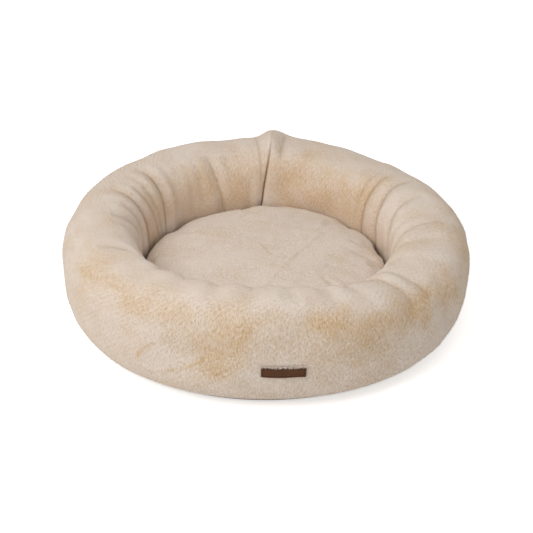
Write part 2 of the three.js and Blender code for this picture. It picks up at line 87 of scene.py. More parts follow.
# %% [markdown]
# ## Meshes from arrays
#
# A surface is a grid of points, so it could be built with Blender's own operators, one ring
# at a time. Arrays are quicker and say the shape in one line. Each piece also gets a flat map
# of its own, named for the bake, so that its colours can be kept in a picture later.

# %% Meshes
QUAD = ((0, 0), (1, 0), (1, 1), (0, 1))


def unit(vectors):
    """Vectors divided by their own lengths."""
    return vectors / np.maximum(np.linalg.norm(vectors, axis=-1, keepdims=True), 1e-9)


def grid_faces(rows, columns, wrap_rows=False, wrap_columns=False):
    """Quads over a grid of points, and each corner's place in the grid as two shares."""
    spans = (rows - (not wrap_rows), columns - (not wrap_columns))
    i, j = np.meshgrid(np.arange(spans[0]), np.arange(spans[1]), indexing="ij")
    down = np.stack([i + a for a, _ in QUAD], -1).reshape(-1, 4)
    along = np.stack([j + b for _, b in QUAD], -1).reshape(-1, 4)
    faces = (down % rows) * columns + along % columns
    return faces, np.stack([down / spans[0], along / spans[1]], -1)


def round_faces(rows, columns):
    """Faces over rows of points round an axis, and their corners' maps. The first and the last
    row are single points, so the ends are fans of triangles, and a pole lies half a column on.
    The points are numbered pole, rows, pole."""
    index = np.arange(rows * columns).reshape(rows, columns) - columns + 1
    index[0], index[-1] = 0, index[-1, 0]
    after = np.roll(index, -1, 1)
    faces = np.stack([index[:-1], index[1:], after[1:], after[:-1]], -1)
    j = np.arange(columns)[:, None]
    down = np.arange(rows - 1)[:, None, None] + np.array([0, 1, 1, 0])
    wall_map = np.stack(np.broadcast_arrays((j + [0, 0, 1, 1]) / columns, down / (rows - 1)), -1)
    top_map, foot_map = wall_map[0][:, [0, 1, 2]], wall_map[-1][:, [0, 1, 3]]
    top_map[:, 0, 0] = foot_map[:, 1, 0] = (j[:, 0] + 0.5) / columns
    walls, maps = faces[1:-1].reshape(-1, 4), wall_map[1:-1].reshape(-1, 4, 2)
    return [walls, faces[0][:, [0, 1, 2]], faces[-1][:, [0, 1, 3]]], [maps, top_map, foot_map]


def make_piece(name, points, faces, material, body, uvs=None, facts=None, smooth=True):
    """A smooth mesh from points in millimetres. Faces and their corner maps are lists of
    arrays, one array for each count of corners, and facts are numbers kept on the points."""
    mesh = bpy.data.meshes.new(name)
    sizes = np.concatenate([np.full(len(f), f.shape[1]) for f in faces])
    corners = np.concatenate([f.ravel() for f in faces])
    mesh.vertices.add(len(points))
    mesh.vertices.foreach_set("co", (points * MM).astype(np.float32).ravel())
    mesh.loops.add(len(corners))
    mesh.loops.foreach_set("vertex_index", corners.astype(np.int32))
    mesh.polygons.add(len(sizes))
    starts = np.concatenate([[0], np.cumsum(sizes)[:-1]])
    mesh.polygons.foreach_set("loop_start", starts.astype(np.int32))
    mesh.update(calc_edges=True)
    if smooth:
        mesh.shade_smooth()
    if uvs is not None:
        layer = mesh.uv_layers.new(name="OFBake")
        flat = np.concatenate([u.reshape(-1, 2) for u in uvs])
        layer.uv.foreach_set("vector", flat.astype(np.float32).ravel())
    for fact, values in (facts or {}).items():
        kept = mesh.attributes.new(fact, "FLOAT", "POINT")
        kept.data.foreach_set("value", np.asarray(values, np.float32))
    mesh.materials.append(material)
    piece = bpy.data.objects.new(name, mesh)
    bpy.context.scene.collection.objects.link(piece)
    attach(piece, body)
    print(f"{name}: {(sizes - 2).sum()} triangles")
    return piece


def make_round(name, rows, material, body, facts=None):
    """A closed piece from an array of rows round an axis, with a pole at each end."""
    middle = rows[1:-1].reshape(-1, 3)
    points = np.concatenate([rows[0].mean(0)[None], middle, rows[-1].mean(0)[None]])
    faces, maps = round_faces(len(rows), rows.shape[1])
    kept = {
        word: np.concatenate([values[0, :1], values[1:-1].ravel(), values[-1, :1]])
        for word, values in (facts or {}).items()
    }
    return make_piece(name, points, faces, material, body, maps, kept)


# %% [markdown]
# ## Uneven by rule
#
# Nothing sewn and stuffed is even. A smooth drift, the sum of a few waves in random
# directions, gives every lump, brushed patch and swirl of pile. It could be read from a
# noise texture, but here it has to move points too, so it is worked out on arrays. Each
# drift has its own seed, so the bed is the same each time.

# %% Drift


def drift(points, size, seed, waves=14):
    """A smooth random number from about -1 to 1 at each point: the sum of waves about as long
    as the size, in random directions."""
    random = np.random.default_rng(seed)
    heading = unit(random.normal(size=(waves, 3)))
    heading *= 2 * math.pi / (size * random.uniform(0.7, 1.6, waves))[:, None]
    phase = random.uniform(0, 2 * math.pi, waves)
    return np.sin(points @ heading.T + phase).sum(-1) * math.sqrt(2 / waves) / 1.5


def drifts(points, *rows):
    """A sum of drifts, each given as its strength, its size in mm and its seed."""
    return sum(strength * drift(points, size, seed) for strength, size, seed in rows)


def bell(away, width):
    """A bell curve: e to the power of minus the square of a distance over the bell's width."""
    return np.exp(-((away / width) ** 2))


# %% [markdown]
# ## The ring's form
#
# The ring is a tube of plush, stuffed with fibre, so its section is a squarish oval that
# stands on a flat foot. It is wider at the right front, higher at the front, and gathered
# into the nest, so folds run over the crest and down the inner wall. The folds could be
# sculpted or left to a cloth simulation, but they have to lie where the photograph has them,
# so each is one row of a table. The sizes are those of the measured solids.

# %% The ring's sizes
BED_RADIUS, NEST_RADIUS, RIM_HEIGHT, SEAT_HEIGHT = 295, 182, 152, 2.7
RING_SQUARENESS = 2.6
OUTLINE_SHARES = (0.985, 1.02, 1.027, 1.024, 1.0, 1.006, 1.002, 1.004)
CREST_SHARES = (1.07, 0.935, 0.92, 0.945, 0.993, 1.015, 1.045, 1.03)
SEAM_BEARING, PEAK_HEIGHT, PEAK_WIDTH = 177.3, 14, 14
FOLD_WIDTH, CREASE_WIDTH = 9, 2.6

# Each fold: the bearing where it starts, how far it leans by its end, its depth in mm, the
# share of it that is a sharp crease, and the two turns that it runs between.
FOLDS = np.array(
    [
        (8, 0, 3.0, 0, 62, 200), (20.5, 0, 3.5, 0, 62, 200), (31, -2, 3.5, 0.1, 60, 200),
        (45, -3, 4.2, 0.3, 36, 135), (51.5, -4, 3.6, 0.3, 36, 135), (64, -12, 2.2, 0.1, 60, 190),
        (78, -12, 2.4, 0.15, 62, 195), (90, -11, 3.2, 0.3, 72, 205), (107, -9, 5.0, 0.25, 84, 210),
        (117.5, -3, 5.4, 0.4, 80, 210), (125.5, 0.5, 4.6, 0.5, 92, 210),
        (130, 0, 2.4, 0.3, 90, 185), (172, 1, 2.6, 0.4, 74, 132), (183.2, -2, 3.0, 0.4, 74, 168),
        (187, 0, 1.6, 0.2, 150, 205), (205, -6, 3.4, 0.4, 106, 205),
        (235.5, -1.6, 5.2, 0.5, 88, 208),
        (243.5, -8, 2.6, 0.35, 118, 205), (248, -10, 3.2, 0.35, 112, 205),
        (254.5, -5.5, 4.8, 0.5, 90, 210), (261.5, -3, 3.0, 0.35, 112, 205),
        (272, -14, 3.6, 0.3, 104, 205),
        (295.5, 11, 3.6, 0.25, 80, 140), (316, 2, 3.0, 0, 80, 190), (330, 0, 2.8, 0, 76, 200),
        (344, 0, 3.2, 0, 66, 200), (355.5, 0, 3.0, 0, 64, 200),
    ]
)


def around(shares, bearing):
    """A smooth closed curve (Catmull-Rom) through shares set at equal steps of bearing."""
    shares = np.asarray(shares)
    at = np.mod(bearing / 360, 1) * len(shares)
    first = np.floor(at).astype(int)
    part = at - first
    a, b, c, d = (shares[(first + k) % len(shares)] for k in (-1, 0, 1, 2))
    bend = 2 * a - 5 * b + 4 * c - d
    return b + part * (c - a + part * (bend + part * (3 * (b - c) + d - a))) / 2


def short_way(bearing, other):
    """The short way round from one bearing to another, in degrees."""
    return np.mod(bearing - other + 180, 360) - 180


def length_away(bearing, other):
    """The short way round from one bearing to another, as a length on the nest's wall."""
    return np.radians(short_way(bearing, other)) * NEST_RADIUS


def fade(turn, start, end):
    """A rise from 0 to 1 and back between two turns: the square root of half a sine wave."""
    part = np.clip((turn - start) / (end - start), 0, 1)
    return np.sqrt(np.sin(np.pi * part))


def ring_frame(bearing):
    """The section's middle radius, half width and half height at a bearing."""
    outer = BED_RADIUS * around(OUTLINE_SHARES, bearing)
    peak = PEAK_HEIGHT * bell(length_away(bearing, SEAM_BEARING), PEAK_WIDTH)
    crest = RIM_HEIGHT * around(CREST_SHARES, bearing) + peak
    return (outer + NEST_RADIUS) / 2, (outer - NEST_RADIUS) / 2, (crest - SEAT_HEIGHT) / 2


def place(bearing, radius, height):
    """The point at a bearing, a radius and a height."""
    angle = np.radians(bearing)
    return np.stack([radius * np.sin(angle), -radius * np.cos(angle), height], -1)


# %% The ring's folds
# A fold sways to and fro, and the plush puffs up by a share of its depth beside it.
FOLD_SWAY, PUFF_SHARE, PUFF_AWAY, PUFF_WIDTH = 1.5, 0.22, 15, 7
# How deep a fold is counted as a full valley, and how wide its valley's painted shade and its brown
# line of painted shade are.
FULL_DEPTH, VALLEY_WIDTH, LINE_WIDTH = 5, 5, 1.8
# The closing seam's furrow and its crease, each a depth and a width, and the width of its dark line
# of painted shade.
SEAM_FURROW, SEAM_CREASE, SEAM_LINE_WIDTH = (4, 8), (4.5, 1.8), 1.4
# Where the seam starts beside its bearing, how far it leans, and the turns that it leans over.
SEAM_START, SEAM_LEAN, SEAM_TURNS = -0.5, 4.7, (85, 190)
# Ripples are strongest round two bearings, each with its reach in mm.
WRINKLE_DEPTH, WRINKLED = 0.8, ((250, 110), (112, 80))
# Lumps of stuffing, as drifts. Round one bearing they all but vanish: the outline is even.
LUMPS = ((2.2, 120, 11), (0.8, 45, 12))
EVEN_BEARING, EVEN_WIDTH = 250, 50


def seam_path(turn):
    """The closing seam's bearing at a turn: it leans as it goes down into the nest, as the
    square of the way down."""
    down = np.clip((turn - SEAM_TURNS[0]) / (SEAM_TURNS[1] - SEAM_TURNS[0]), 0, 1)
    return SEAM_BEARING + SEAM_START + SEAM_LEAN * down**2


def creases(bearing, turn):
    """How far the folds and the closing seam draw the cover in, how deep in a valley each point
    is, and how near a sharp crease, both from 0 to 1; these two colour the pile as painted
    shade. A fold's path leans by the 1.5th power of the way along it. Its section is a bell,
    in part narrowed to a cusp, and the plush puffs up a little beside it."""
    depth, valley, close = (np.zeros_like(bearing) for _ in range(3))
    for at, lean, deep, sharp, start, end in FOLDS:
        path = at + lean * np.clip((turn - start) / (end - start), 0, 1) ** 1.5
        away = length_away(bearing, path) + FOLD_SWAY * np.sin(np.radians(turn * 2.1 + at * 7))
        strength = fade(turn, start, end)
        cusp = np.exp(-np.abs(away / CREASE_WIDTH))
        puff = PUFF_SHARE * bell(np.abs(away) - PUFF_AWAY, PUFF_WIDTH)
        depth += deep * strength * ((1 - sharp) * bell(away, FOLD_WIDTH) + sharp * cusp - puff)
        # The valley and the crease line are painted shade on the pile's colour.
        valley = np.maximum(valley, deep / FULL_DEPTH * strength * bell(away, VALLEY_WIDTH))
        line = sharp * deep / FULL_DEPTH * strength * bell(away, LINE_WIDTH)
        close = np.maximum(close, line)
    away = length_away(bearing, seam_path(turn))
    strength = np.clip((turn - 92) / 75, 0.14, 1) * fade(turn, -75, 250)
    furrow = SEAM_FURROW[0] * bell(away, SEAM_FURROW[1])
    crease = SEAM_CREASE[0] * np.exp(-np.abs(away / SEAM_CREASE[1]))
    depth += strength * (furrow + crease)
    # The seam's dark line is painted shade too.
    close = np.maximum(close, 1.1 * strength * bell(away, SEAM_LINE_WIDTH))
    return depth, np.clip(valley, 0, 1), np.clip(close, 0, 1)


def wrinkles(bearing, turn):
    """Fine ripples down the inner wall, strongest where the ring bends most: three waves of
    bearing, one of which shifts with the turn."""
    angle = np.radians(bearing)
    strong = 0.25 + sum(bell(length_away(bearing, at), reach) for at, reach in WRINKLED)
    waves = np.sin(34 * angle + 1) + np.sin(49 * angle + turn / 40) + 0.7 * np.sin(71 * angle + 3)
    return WRINKLE_DEPTH / 2 * waves * strong * fade(turn, 88, 222)


def ring_surface(bearing, turn, inset=0.0):
    """Points on the ring's cover, drawn in by an inset: the oval, less its folds, ripples and
    lumps of stuffing. The lumps fade towards the foot, outside and in the nest."""
    middle, half_width, half_height = ring_frame(bearing)
    cos, sin = np.cos(np.radians(turn)), np.sin(np.radians(turn))
    across = np.sign(cos) * np.abs(cos) ** (2 / RING_SQUARENESS)
    up = np.sign(sin) * np.abs(sin) ** (2 / RING_SQUARENESS)
    plain = place(bearing, middle + half_width * across, SEAT_HEIGHT + half_height * (1 + up))
    lump = drifts(plain, *LUMPS)
    lump = lump * np.clip((turn + 60) / 50, 0, 1) * np.clip((215 - turn) / 30, 0, 1)
    lump = lump * (1 - 0.9 * bell(length_away(bearing, EVEN_BEARING), EVEN_WIDTH))
    drawn = inset + creases(bearing, turn)[0] + wrinkles(bearing, turn) + lump
    radius = middle + (half_width - drawn) * across
    return place(bearing, radius, SEAT_HEIGHT + half_height + (half_height - drawn) * up)


def surface_frame(surface, first, second, step=0.4):
    """A surface's points, outward unit normals and unit directions along its second number,
    by small steps of its two numbers."""
    points = surface(first, second)
    along_first = surface(first + step, second) - surface(first - step, second)
    along_second = surface(first, second + step) - surface(first, second - step)
    return points, unit(np.cross(along_first, along_second)), unit(along_second)


probe = ring_surface(np.arange(0, 360, 45.0), np.full(8, 90.0))
print("crest heights, mm:", probe[:, 2].round(1))

# %% [markdown]
# ## Finishes
#
# Every finish is a small network of nodes. One function adds a node with its settings and
# links. Colours are written as the eye reads them, in sRGB hex, and are turned to linear
# light in one place. The pitch of a pattern comes from its real size. Two close colours in
# soft clouds recur, so they are written once.

# %% Nodes


def linear(code):
    """An sRGB hex colour as linear light, by the standard's two-part curve, with full cover."""
    parts = np.array([int(code[i : i + 2], 16) for i in (1, 3, 5)]) / 255
    light = np.where(parts <= 0.04045, parts / 12.92, ((parts + 0.055) / 1.055) ** 2.4)
    return (*light, 1.0)


def set_inputs(tree, node, inputs):
    """Sets a node's inputs, each to a number, a colour or the output of another node."""
    for name, value in inputs.items():
        if isinstance(value, bpy.types.NodeSocket):
            tree.links.new(value, node.inputs[name])
        else:
            node.inputs[name].default_value = value


def add(tree, kind, inputs=None, **settings):
    """Adds a node: the settings are its own, and the inputs are set as above."""
    made = tree.nodes.new(kind)
    for name, value in settings.items():
        setattr(made, name, value)
    set_inputs(tree, made, inputs or {})
    return made


def pitch(size):
    """The scale at which a pattern on Object coordinates repeats about once in a size in mm."""
    return 1 / (size * MM)


def start_finish(name):
    """A new finish's nodes, its shader and the piece's own coordinates."""
    material = bpy.data.materials.new(name)
    material.use_nodes = True
    tree = material.node_tree
    here = add(tree, "ShaderNodeTexCoord").outputs["Object"]
    return material, tree, tree.nodes["Principled BSDF"], here


def mottled(tree, here, size, detail, colours):
    """Two colours in soft clouds about as large as a size in mm, and the clouds alone."""
    clouds = {"Vector": here, "Scale": pitch(size), "Detail": detail}
    clouds = add(tree, "ShaderNodeTexNoise", clouds).outputs["Fac"]
    ends = {0: clouds, 6: linear(colours[0]), 7: linear(colours[1])}
    return add(tree, "ShaderNodeMix", ends, data_type="RGBA").outputs[2], clouds


# %% [markdown]
# ## Plush
#
# The cover is a polyester plush with a long brushed pile. Where the pile lies flat the eye
# sees the warm sides of the fibres, a peach tan, and where it stands it sees their pale
# cream tips, so a brushed bed is patchy though it is one colour. Near a crease the colour is
# mixed towards brown, which is painted shade. The fibres cling in strands, about 2 mm wide
# and 6 mm long, that run down the wall and swirl a little: a noise stretched along the
# piece's own map, with its place pushed about by a larger noise. The same strands lift the
# surface, break up the edges of the patches and catch the light; between them the pile is
# drawn tan and darker, partly the fibres' own sides and partly painted shade. A picture of
# fur could be laid on instead, but it would show its edges and stretch where the ring bends.
# Four facts are kept on the points and read here: how flat the pile lies, which also holds
# painted shade in the folds' valleys; a tint, which holds painted light low in the nest; how
# deep in a crease it is, which is painted shade there; and how ruffled it is. The sheen is
# the soft light such fibres show at a grazing angle.

# %% Plush
# The third colour is painted shade: the pile is mixed towards it near a crease.
TIP_PALE, TIP_TAN, CREASE_SHADE_BROWN = "#ddcfc2", "#caab83", "#6f4f36"
# The larger noise's size and its push on the strands, in mm.
SWIRL_SIZE, SWIRL_PUSH = 24, 13
# How the strands' noise breaks up a patch, and how it lets tan show between strands, partly
# the fibres' own sides and partly painted shade, as slope and level.
RAGGED, BETWEEN = (-2.5, 2.25), (-1.0, 0.52)
FIBRE_SHEEN = {"Roughness": 0.9, "Specular IOR Level": 0.2, "Sheen Roughness": 0.5}


def pile_facts(tree, *words):
    """The facts kept on a pile's points, each as the output of a node."""
    return {
        word: add(tree, "ShaderNodeAttribute", attribute_name=word).outputs["Fac"]
        for word in words
    }


def pile_colour(tree, lying, deep, tone):
    """The pile's colour: from pale tips to tan sides as it lies down, then towards a brown of
    painted shade near a crease, times a tone."""
    ends = {0: lying, 6: linear(TIP_PALE), 7: linear(TIP_TAN)}
    fibre = add(tree, "ShaderNodeMix", ends, data_type="RGBA").outputs[2]
    ends = {0: deep, 6: fibre, 7: linear(CREASE_SHADE_BROWN)}
    brown = add(tree, "ShaderNodeMix", ends, data_type="RGBA").outputs[2]
    toned = add(tree, "ShaderNodeVectorMath", {0: brown, "Scale": tone}, operation="SCALE")
    return toned.outputs[0]


def make_plush(name, size, strand, contrast, sheen, follows_map=True):
    """Brushed pile on a map whose whole width and height are given in mm, in strands of a
    width and length in mm. Without a map the strands follow the piece's place."""
    material, tree, shader, here = start_finish(name)
    way = add(tree, "ShaderNodeUVMap", uv_map="OFBake").outputs["UV"] if follows_map else here
    scale = {0: way, 1: size}
    flat_way = add(tree, "ShaderNodeVectorMath", scale, operation="MULTIPLY").outputs[0]
    wide = {"Vector": flat_way, "Scale": 1 / SWIRL_SIZE, "Detail": 1}
    wide = add(tree, "ShaderNodeTexNoise", wide).outputs["Color"]
    pushed = {0: wide, 1: (SWIRL_PUSH, SWIRL_PUSH, 0), 2: flat_way}
    swirled = add(tree, "ShaderNodeVectorMath", pushed, operation="MULTIPLY_ADD").outputs[0]
    thin = {0: swirled, 1: (1 / strand[0], 1 / strand[1], 1 / strand[0])}
    along = add(tree, "ShaderNodeVectorMath", thin, operation="MULTIPLY").outputs[0]
    strands = {"Vector": along, "Scale": 1.0, "Detail": 3, "Roughness": 0.7}
    strands = add(tree, "ShaderNodeTexNoise", strands).outputs["Fac"]
    # Of these facts, flat also holds painted shade in the folds' valleys, tint holds painted light
    # low in the nest, and deep is painted shade near a crease.
    fact = pile_facts(tree, "flat", "tint", "deep", "ruffled")
    ragged = {0: strands, 1: RAGGED[0], 2: RAGGED[1]}
    ragged = add(tree, "ShaderNodeMath", ragged, operation="MULTIPLY_ADD").outputs[0]
    lying = {0: ragged, 1: fact["flat"]}
    lying = add(tree, "ShaderNodeMath", lying, operation="MULTIPLY").outputs[0]
    between = {0: strands, 1: BETWEEN[0], 2: BETWEEN[1]}
    between = add(tree, "ShaderNodeMath", between, operation="MULTIPLY_ADD").outputs[0]
    lying = add(tree, "ShaderNodeMath", {0: lying, 1: between}, use_clamp=True).outputs[0]
    # The strands' tone is darker where their noise is low, more so where the pile is ruffled:
    # partly the fibres' own colour, partly painted shade between strands.
    amount = {0: fact["ruffled"], 1: contrast}
    amount = add(tree, "ShaderNodeMath", amount, operation="MULTIPLY").outputs[0]
    centred = add(tree, "ShaderNodeMath", {0: strands, 1: 0.5}, operation="SUBTRACT").outputs[0]
    tone = {0: centred, 1: amount, 2: 1.0}
    tone = add(tree, "ShaderNodeMath", tone, operation="MULTIPLY_ADD").outputs[0]
    tone = add(tree, "ShaderNodeMath", {0: tone, 1: fact["tint"]}, operation="MULTIPLY").outputs[0]
    relief = {0: strands, 1: fact["ruffled"]}
    relief = add(tree, "ShaderNodeMath", relief, operation="MULTIPLY").outputs[0]
    bump = add(tree, "ShaderNodeBump", {"Strength": 0.5, "Distance": 0.0005, "Height": relief})
    surface = {
        "Base Color": pile_colour(tree, lying, fact["deep"], tone),
        "Normal": bump.outputs[0],
        "Sheen Weight": sheen,
        "Sheen Tint": linear("#fff4e6"),
    }
    set_inputs(tree, shader, surface | FIBRE_SHEEN)
    return material


def make_tips(name, sheen):
    """The loose tips of the pile: the same colours as the plush, without its strands, since
    each tip is one strand by itself."""
    material, tree, shader, _ = start_finish(name)
    # The tips read the same facts, with the same painted shade and painted light.
    fact = pile_facts(tree, "flat", "tint", "deep")
    colour = pile_colour(tree, fact["flat"], fact["deep"], fact["tint"])
    set_inputs(tree, shader, {"Base Color": colour, "Sheen Weight": sheen} | FIBRE_SHEEN)
    return material


LONG_PLUSH = make_plush("long_pile_plush", (1650, 400, 1), (1.9, 5.5), 0.5, 0.12)
LONG_TIPS = make_tips("long_pile_tips", 0.1)

# %% [markdown]
# ## Locks of pile
#
# Real pile has far more fibres than a scene can hold. Those that lie close are the pattern
# above, and only the loose tips are made, which break up the outline and catch the light one
# by one. Blender's hair could make them, but hair isn't a solid and is lost when a model is
# exported. So each is a thin closed wedge with three sides, a lock of a few fibres: it stands
# on its root, bends over at its middle and ends in a point.

# %% Locks
LOCK_BASE = np.array([(0, 2, 1)])
LOCK_WALLS = np.array([(k, (k + 1) % 3, 3 + (k + 1) % 3, 3 + k) for k in range(3)])
LOCK_TIP = np.array([(3 + k, 3 + (k + 1) % 3, 6) for k in range(3)])
LOCK_TURNS, LOCK_FLATNESS = (90, 210, 330), 0.2
# How deep a lock is rooted in mm, its two parts as shares of its length, how much narrower it
# is at its knee, and how much more its upper part leans, up to a limit in radians.
LOCK_ROOT, LOCK_LOWER, LOCK_UPPER, LOCK_KNEE = 0.4, 0.55, 0.5, 0.85
LOCK_CURL, CURL_LIMIT = 1.3, 1.53
LOCK_MAP = np.array([(-1, -1), (1, -1), (0, 1), (-0.6, -0.3), (0.6, -0.3), (0, 0.6), (0, 0)])


def locks(roots, out, lay, lean, length, width):
    """Points of many locks, seven to a lock. The lower part leans from the outward direction
    towards the lay by the lean, in radians, and the upper part leans further by a share."""
    lower = unit(out * np.cos(lean)[:, None] + lay * np.sin(lean)[:, None])
    curl = np.minimum(lean * LOCK_CURL, CURL_LIMIT)
    upper = unit(out * np.cos(curl)[:, None] + lay * np.sin(curl)[:, None])
    side = unit(np.cross(lower, out + 0.3 * lay))
    other = np.cross(lower, side)
    turn = np.radians(LOCK_TURNS)
    round_it = (
        side[:, None] * np.cos(turn)[None, :, None]
        + LOCK_FLATNESS * other[:, None] * np.sin(turn)[None, :, None]
    )
    knee = roots + lower * (LOCK_LOWER * length)[:, None]
    foot_ring = (roots - LOCK_ROOT * out)[:, None] + round_it * width[:, None, None]
    knee_ring = knee[:, None] + round_it * (LOCK_KNEE * width)[:, None, None]
    tip = (knee + upper * (LOCK_UPPER * length)[:, None])[:, None]
    return np.concatenate([foot_ring, knee_ring, tip], 1)


def make_pile(name, points, maps, cell, facts, material, body):
    """One piece from many locks: closed meshes side by side, each on its own small patch of
    the map."""
    first = np.arange(len(points))[:, None, None] * 7
    parts = [
        (first + part[None]).reshape(-1, part.shape[1])
        for part in (LOCK_BASE, LOCK_WALLS, LOCK_TIP)
    ]
    map_points = maps[:, None] + LOCK_MAP[None] * np.asarray(cell)
    flat_map = np.clip(map_points.reshape(-1, 2), 0.0005, 0.9995)
    corner_maps = [flat_map[part] for part in parts]
    kept = {word: np.repeat(values, 7) for word, values in facts.items()}
    flat_points = points.reshape(-1, 3)
    return make_piece(name, flat_points, parts, material, body, corner_maps, kept, smooth=False)


def make_sectors(name, count, bearing, share, points, facts, cell, body, slot):
    """A round pile in a count of pieces by bearing, each with the whole of its map."""
    step = 360 / count
    for k in range(count):
        mine = (bearing >= k * step) & (bearing < (k + 1) * step)
        maps = np.stack([(bearing[mine] - k * step) / step, share[mine]], -1)
        some = {word: values[mine] for word, values in facts.items()}
        piece = make_pile(f"{name}_{k + 1}", points[mine], maps, cell, some, LONG_TIPS, body)
    print(f"{name}: {len(points)} locks")


# %% [markdown]
# ## Where the plush is brushed
#
# The tan patches in the photograph are where a hand has brushed the pile: a band across the
# front and spots beside it. Low on the inner wall at the back the tan is partly brushed pile
# and partly painted shade. A picture could carry them, but it would fix the light in them
# too. So they are placed one by one on the ring, each an oval with soft edges, and a drift
# breaks them up. A faint oval line at the left front is left by a fold in the packing. Low
# on the outside the pile is ruffled. On the crest and the left side it is smooth.

# %% Brushed patches
# Bearing, turn, half length round the ring and half height across it in mm, and strength.
PATCHES = np.array(
    [
        (300, 40, 34, 26, 0.42), (310, 62, 42, 24, 0.4), (322, 46, 38, 28, 0.35),
        (335, 48, 30, 24, 0.3), (350, 33, 35, 27, 0.6), (345, 6, 32, 20, 0.5),
        (348, -8, 18, 9, 0.35), (354, 12, 20, 16, 0.36), (1, 52, 22, 13, 0.4),
        (14, 46, 38, 19, 0.38), (21, 31, 42, 25, 0.4), (26, 14, 34, 25, 0.32),
        (34, 38, 42, 21, 0.34), (42, 27, 44, 28, 0.34), (18, 0, 26, 16, 0.26),
        # The rows at turns of 166 to 172 lie low on the inner wall at the back: their tan is partly
        # brushed pile and partly painted shade.
        (50, 44, 38, 24, 0.38), (58, 28, 42, 30, 0.32), (150, 166, 88, 60, 0.5),
        (168, 166, 38, 56, 0.38), (128, 172, 48, 60, 0.42), (192, 166, 48, 58, 0.36),
        (215, 166, 64, 62, 0.4), (245, 170, 64, 60, 0.3), (288, 100, 30, 20, 0.25),
        (82, 36, 74, 56, 0.44), (262, 60, 60, 30, 0.15), (205, 20, 70, 34, 0.22),
        (120, 30, 80, 30, 0.25), (160, 0, 60, 28, 0.18), (240, 0, 70, 34, 0.18),
    ]
)
# A drift of the whole, as rows of strength, size and seed, round a level.
BRUSHED_LEVEL, BRUSHED_DRIFTS = 0.1, ((0.11, 70, 21), (0.07, 24, 22))
# A line left by a fold in the packing, as bearings and turns, and its width in mm.
PACKING_LINE = np.array(
    [
        (330, 5), (327, 0), (325, -5), (324.5, -13), (325, -22), (327.5, -26), (332, -20),
        (337, -11), (341, -5), (344.5, 1),
    ]
)
PACKING_WIDTH = 2.4
# Where the pile was stroked smooth: the middle and the reach, in degrees of bearing.
STROKED_BEARING, STROKED_REACH = 292, 46


def stroked(bearing):
    """How smooth the pile was stroked, from 0 to 1: a bell round a bearing on the left side."""
    return bell(short_way(bearing, STROKED_BEARING), STROKED_REACH)


def ruffled(bearing, turn):
    """How ruffled the strands are, about 0.1 to 1.7: a level, and a rise by the 1.3th power of
    the way from the shoulder down the outside, less most of both where it was stroked."""
    rough = 0.36 + 1.1 * np.clip((40 - turn) / 75, 0, 1) ** 1.3
    return rough * (1.2 - 0.88 * stroked(bearing))


def nest_painted_light(turn):
    """Painted light low in the nest: the pile's colour is made up to a tenth paler there, rising
    from a turn of 115 to one of 175."""
    return 1 + 0.1 * np.clip((turn - 115) / 60, 0, 1)


def near_lines(here, lines, width):
    """How near each point of a plane is to the nearest of some straight lines, from 0 to 1: a
    bell across the line."""
    near = np.zeros(len(here))
    for start, end in lines:
        along = end - start
        share = np.clip(((here - start) @ along) / (along @ along), 0, 1)
        away = np.linalg.norm(here - start - share[:, None] * along, axis=1)
        near = np.maximum(near, bell(away, width))
    return near


def near_packing_line(bearing, turn):
    """How near each point is to the packing line, in mm on the flattened wall."""
    scale = np.array([math.radians(BED_RADIUS), 1.3])
    here = np.stack([np.mod(bearing, 360), turn], -1) * scale
    ends = PACKING_LINE * scale
    return near_lines(here, zip(ends[:-1], ends[1:]), PACKING_WIDTH)


def brushed_with_shade(bearing, turn, points):
    """How flat the pile lies, from 0 to 1, with painted shade: the sum of the patches' soft
    ovals, a drift, the folds' valleys as painted shade and the packing line. A patch falls off
    by the 1.6th power of the way out, and its reach drifts."""
    line = near_packing_line(bearing, turn) * (1 + 0.35 * drift(points, 13, 24))
    flat = BRUSHED_LEVEL + drifts(points, *BRUSHED_DRIFTS)
    # The folds' valleys are painted shade: they turn the pile tan there.
    flat = flat + 0.22 * creases(bearing, turn)[1] + 0.42 * line
    uneven = 1 + 0.3 * drift(points, 30, 23)
    for at, height, half_length, half_height, strength in PATCHES:
        away = length_away(bearing, at) * BED_RADIUS / NEST_RADIUS / half_length
        above = np.radians(turn - height) * 75 / half_height
        reach = (away**2 + above**2) * uneven
        flat += strength * np.exp(-(np.maximum(reach, 0) ** 0.8))
    return np.clip(flat, 0, 1)


# %% [markdown]
# ## The ring's cover
#
# The skin is one closed tube, drawn in by the height of the pile, so that the tips of the
# locks reach the measured surface. The locks are spread by a sequence that fills a square
# evenly without looking like a grid. They lean down the wall and swirl by a drift. They are
# shorter on the crest, in the nest, in a crease and where they were stroked. The pile is kept
# in eight pieces, each a sector of the ring, so that no piece is too large.

# %% The ring's skin
PILE_INSET = 2.2
SKIN_ROWS, SKIN_COLUMNS = 640, 150


def full_turns(count):
    """Turns all round the section, closer together where the oval bends tightly."""
    even = np.arange(count) / count * 360 - 90
    return even - 9 * np.sin(np.radians(4 * (even + 90)))


def way_round(share):
    """The share of the way round from the seam at a share of the rows: the rows lie twice as
    close beside the seam, so that its crease is crisp."""
    return share - 0.08 * np.sin(2 * math.pi * share)


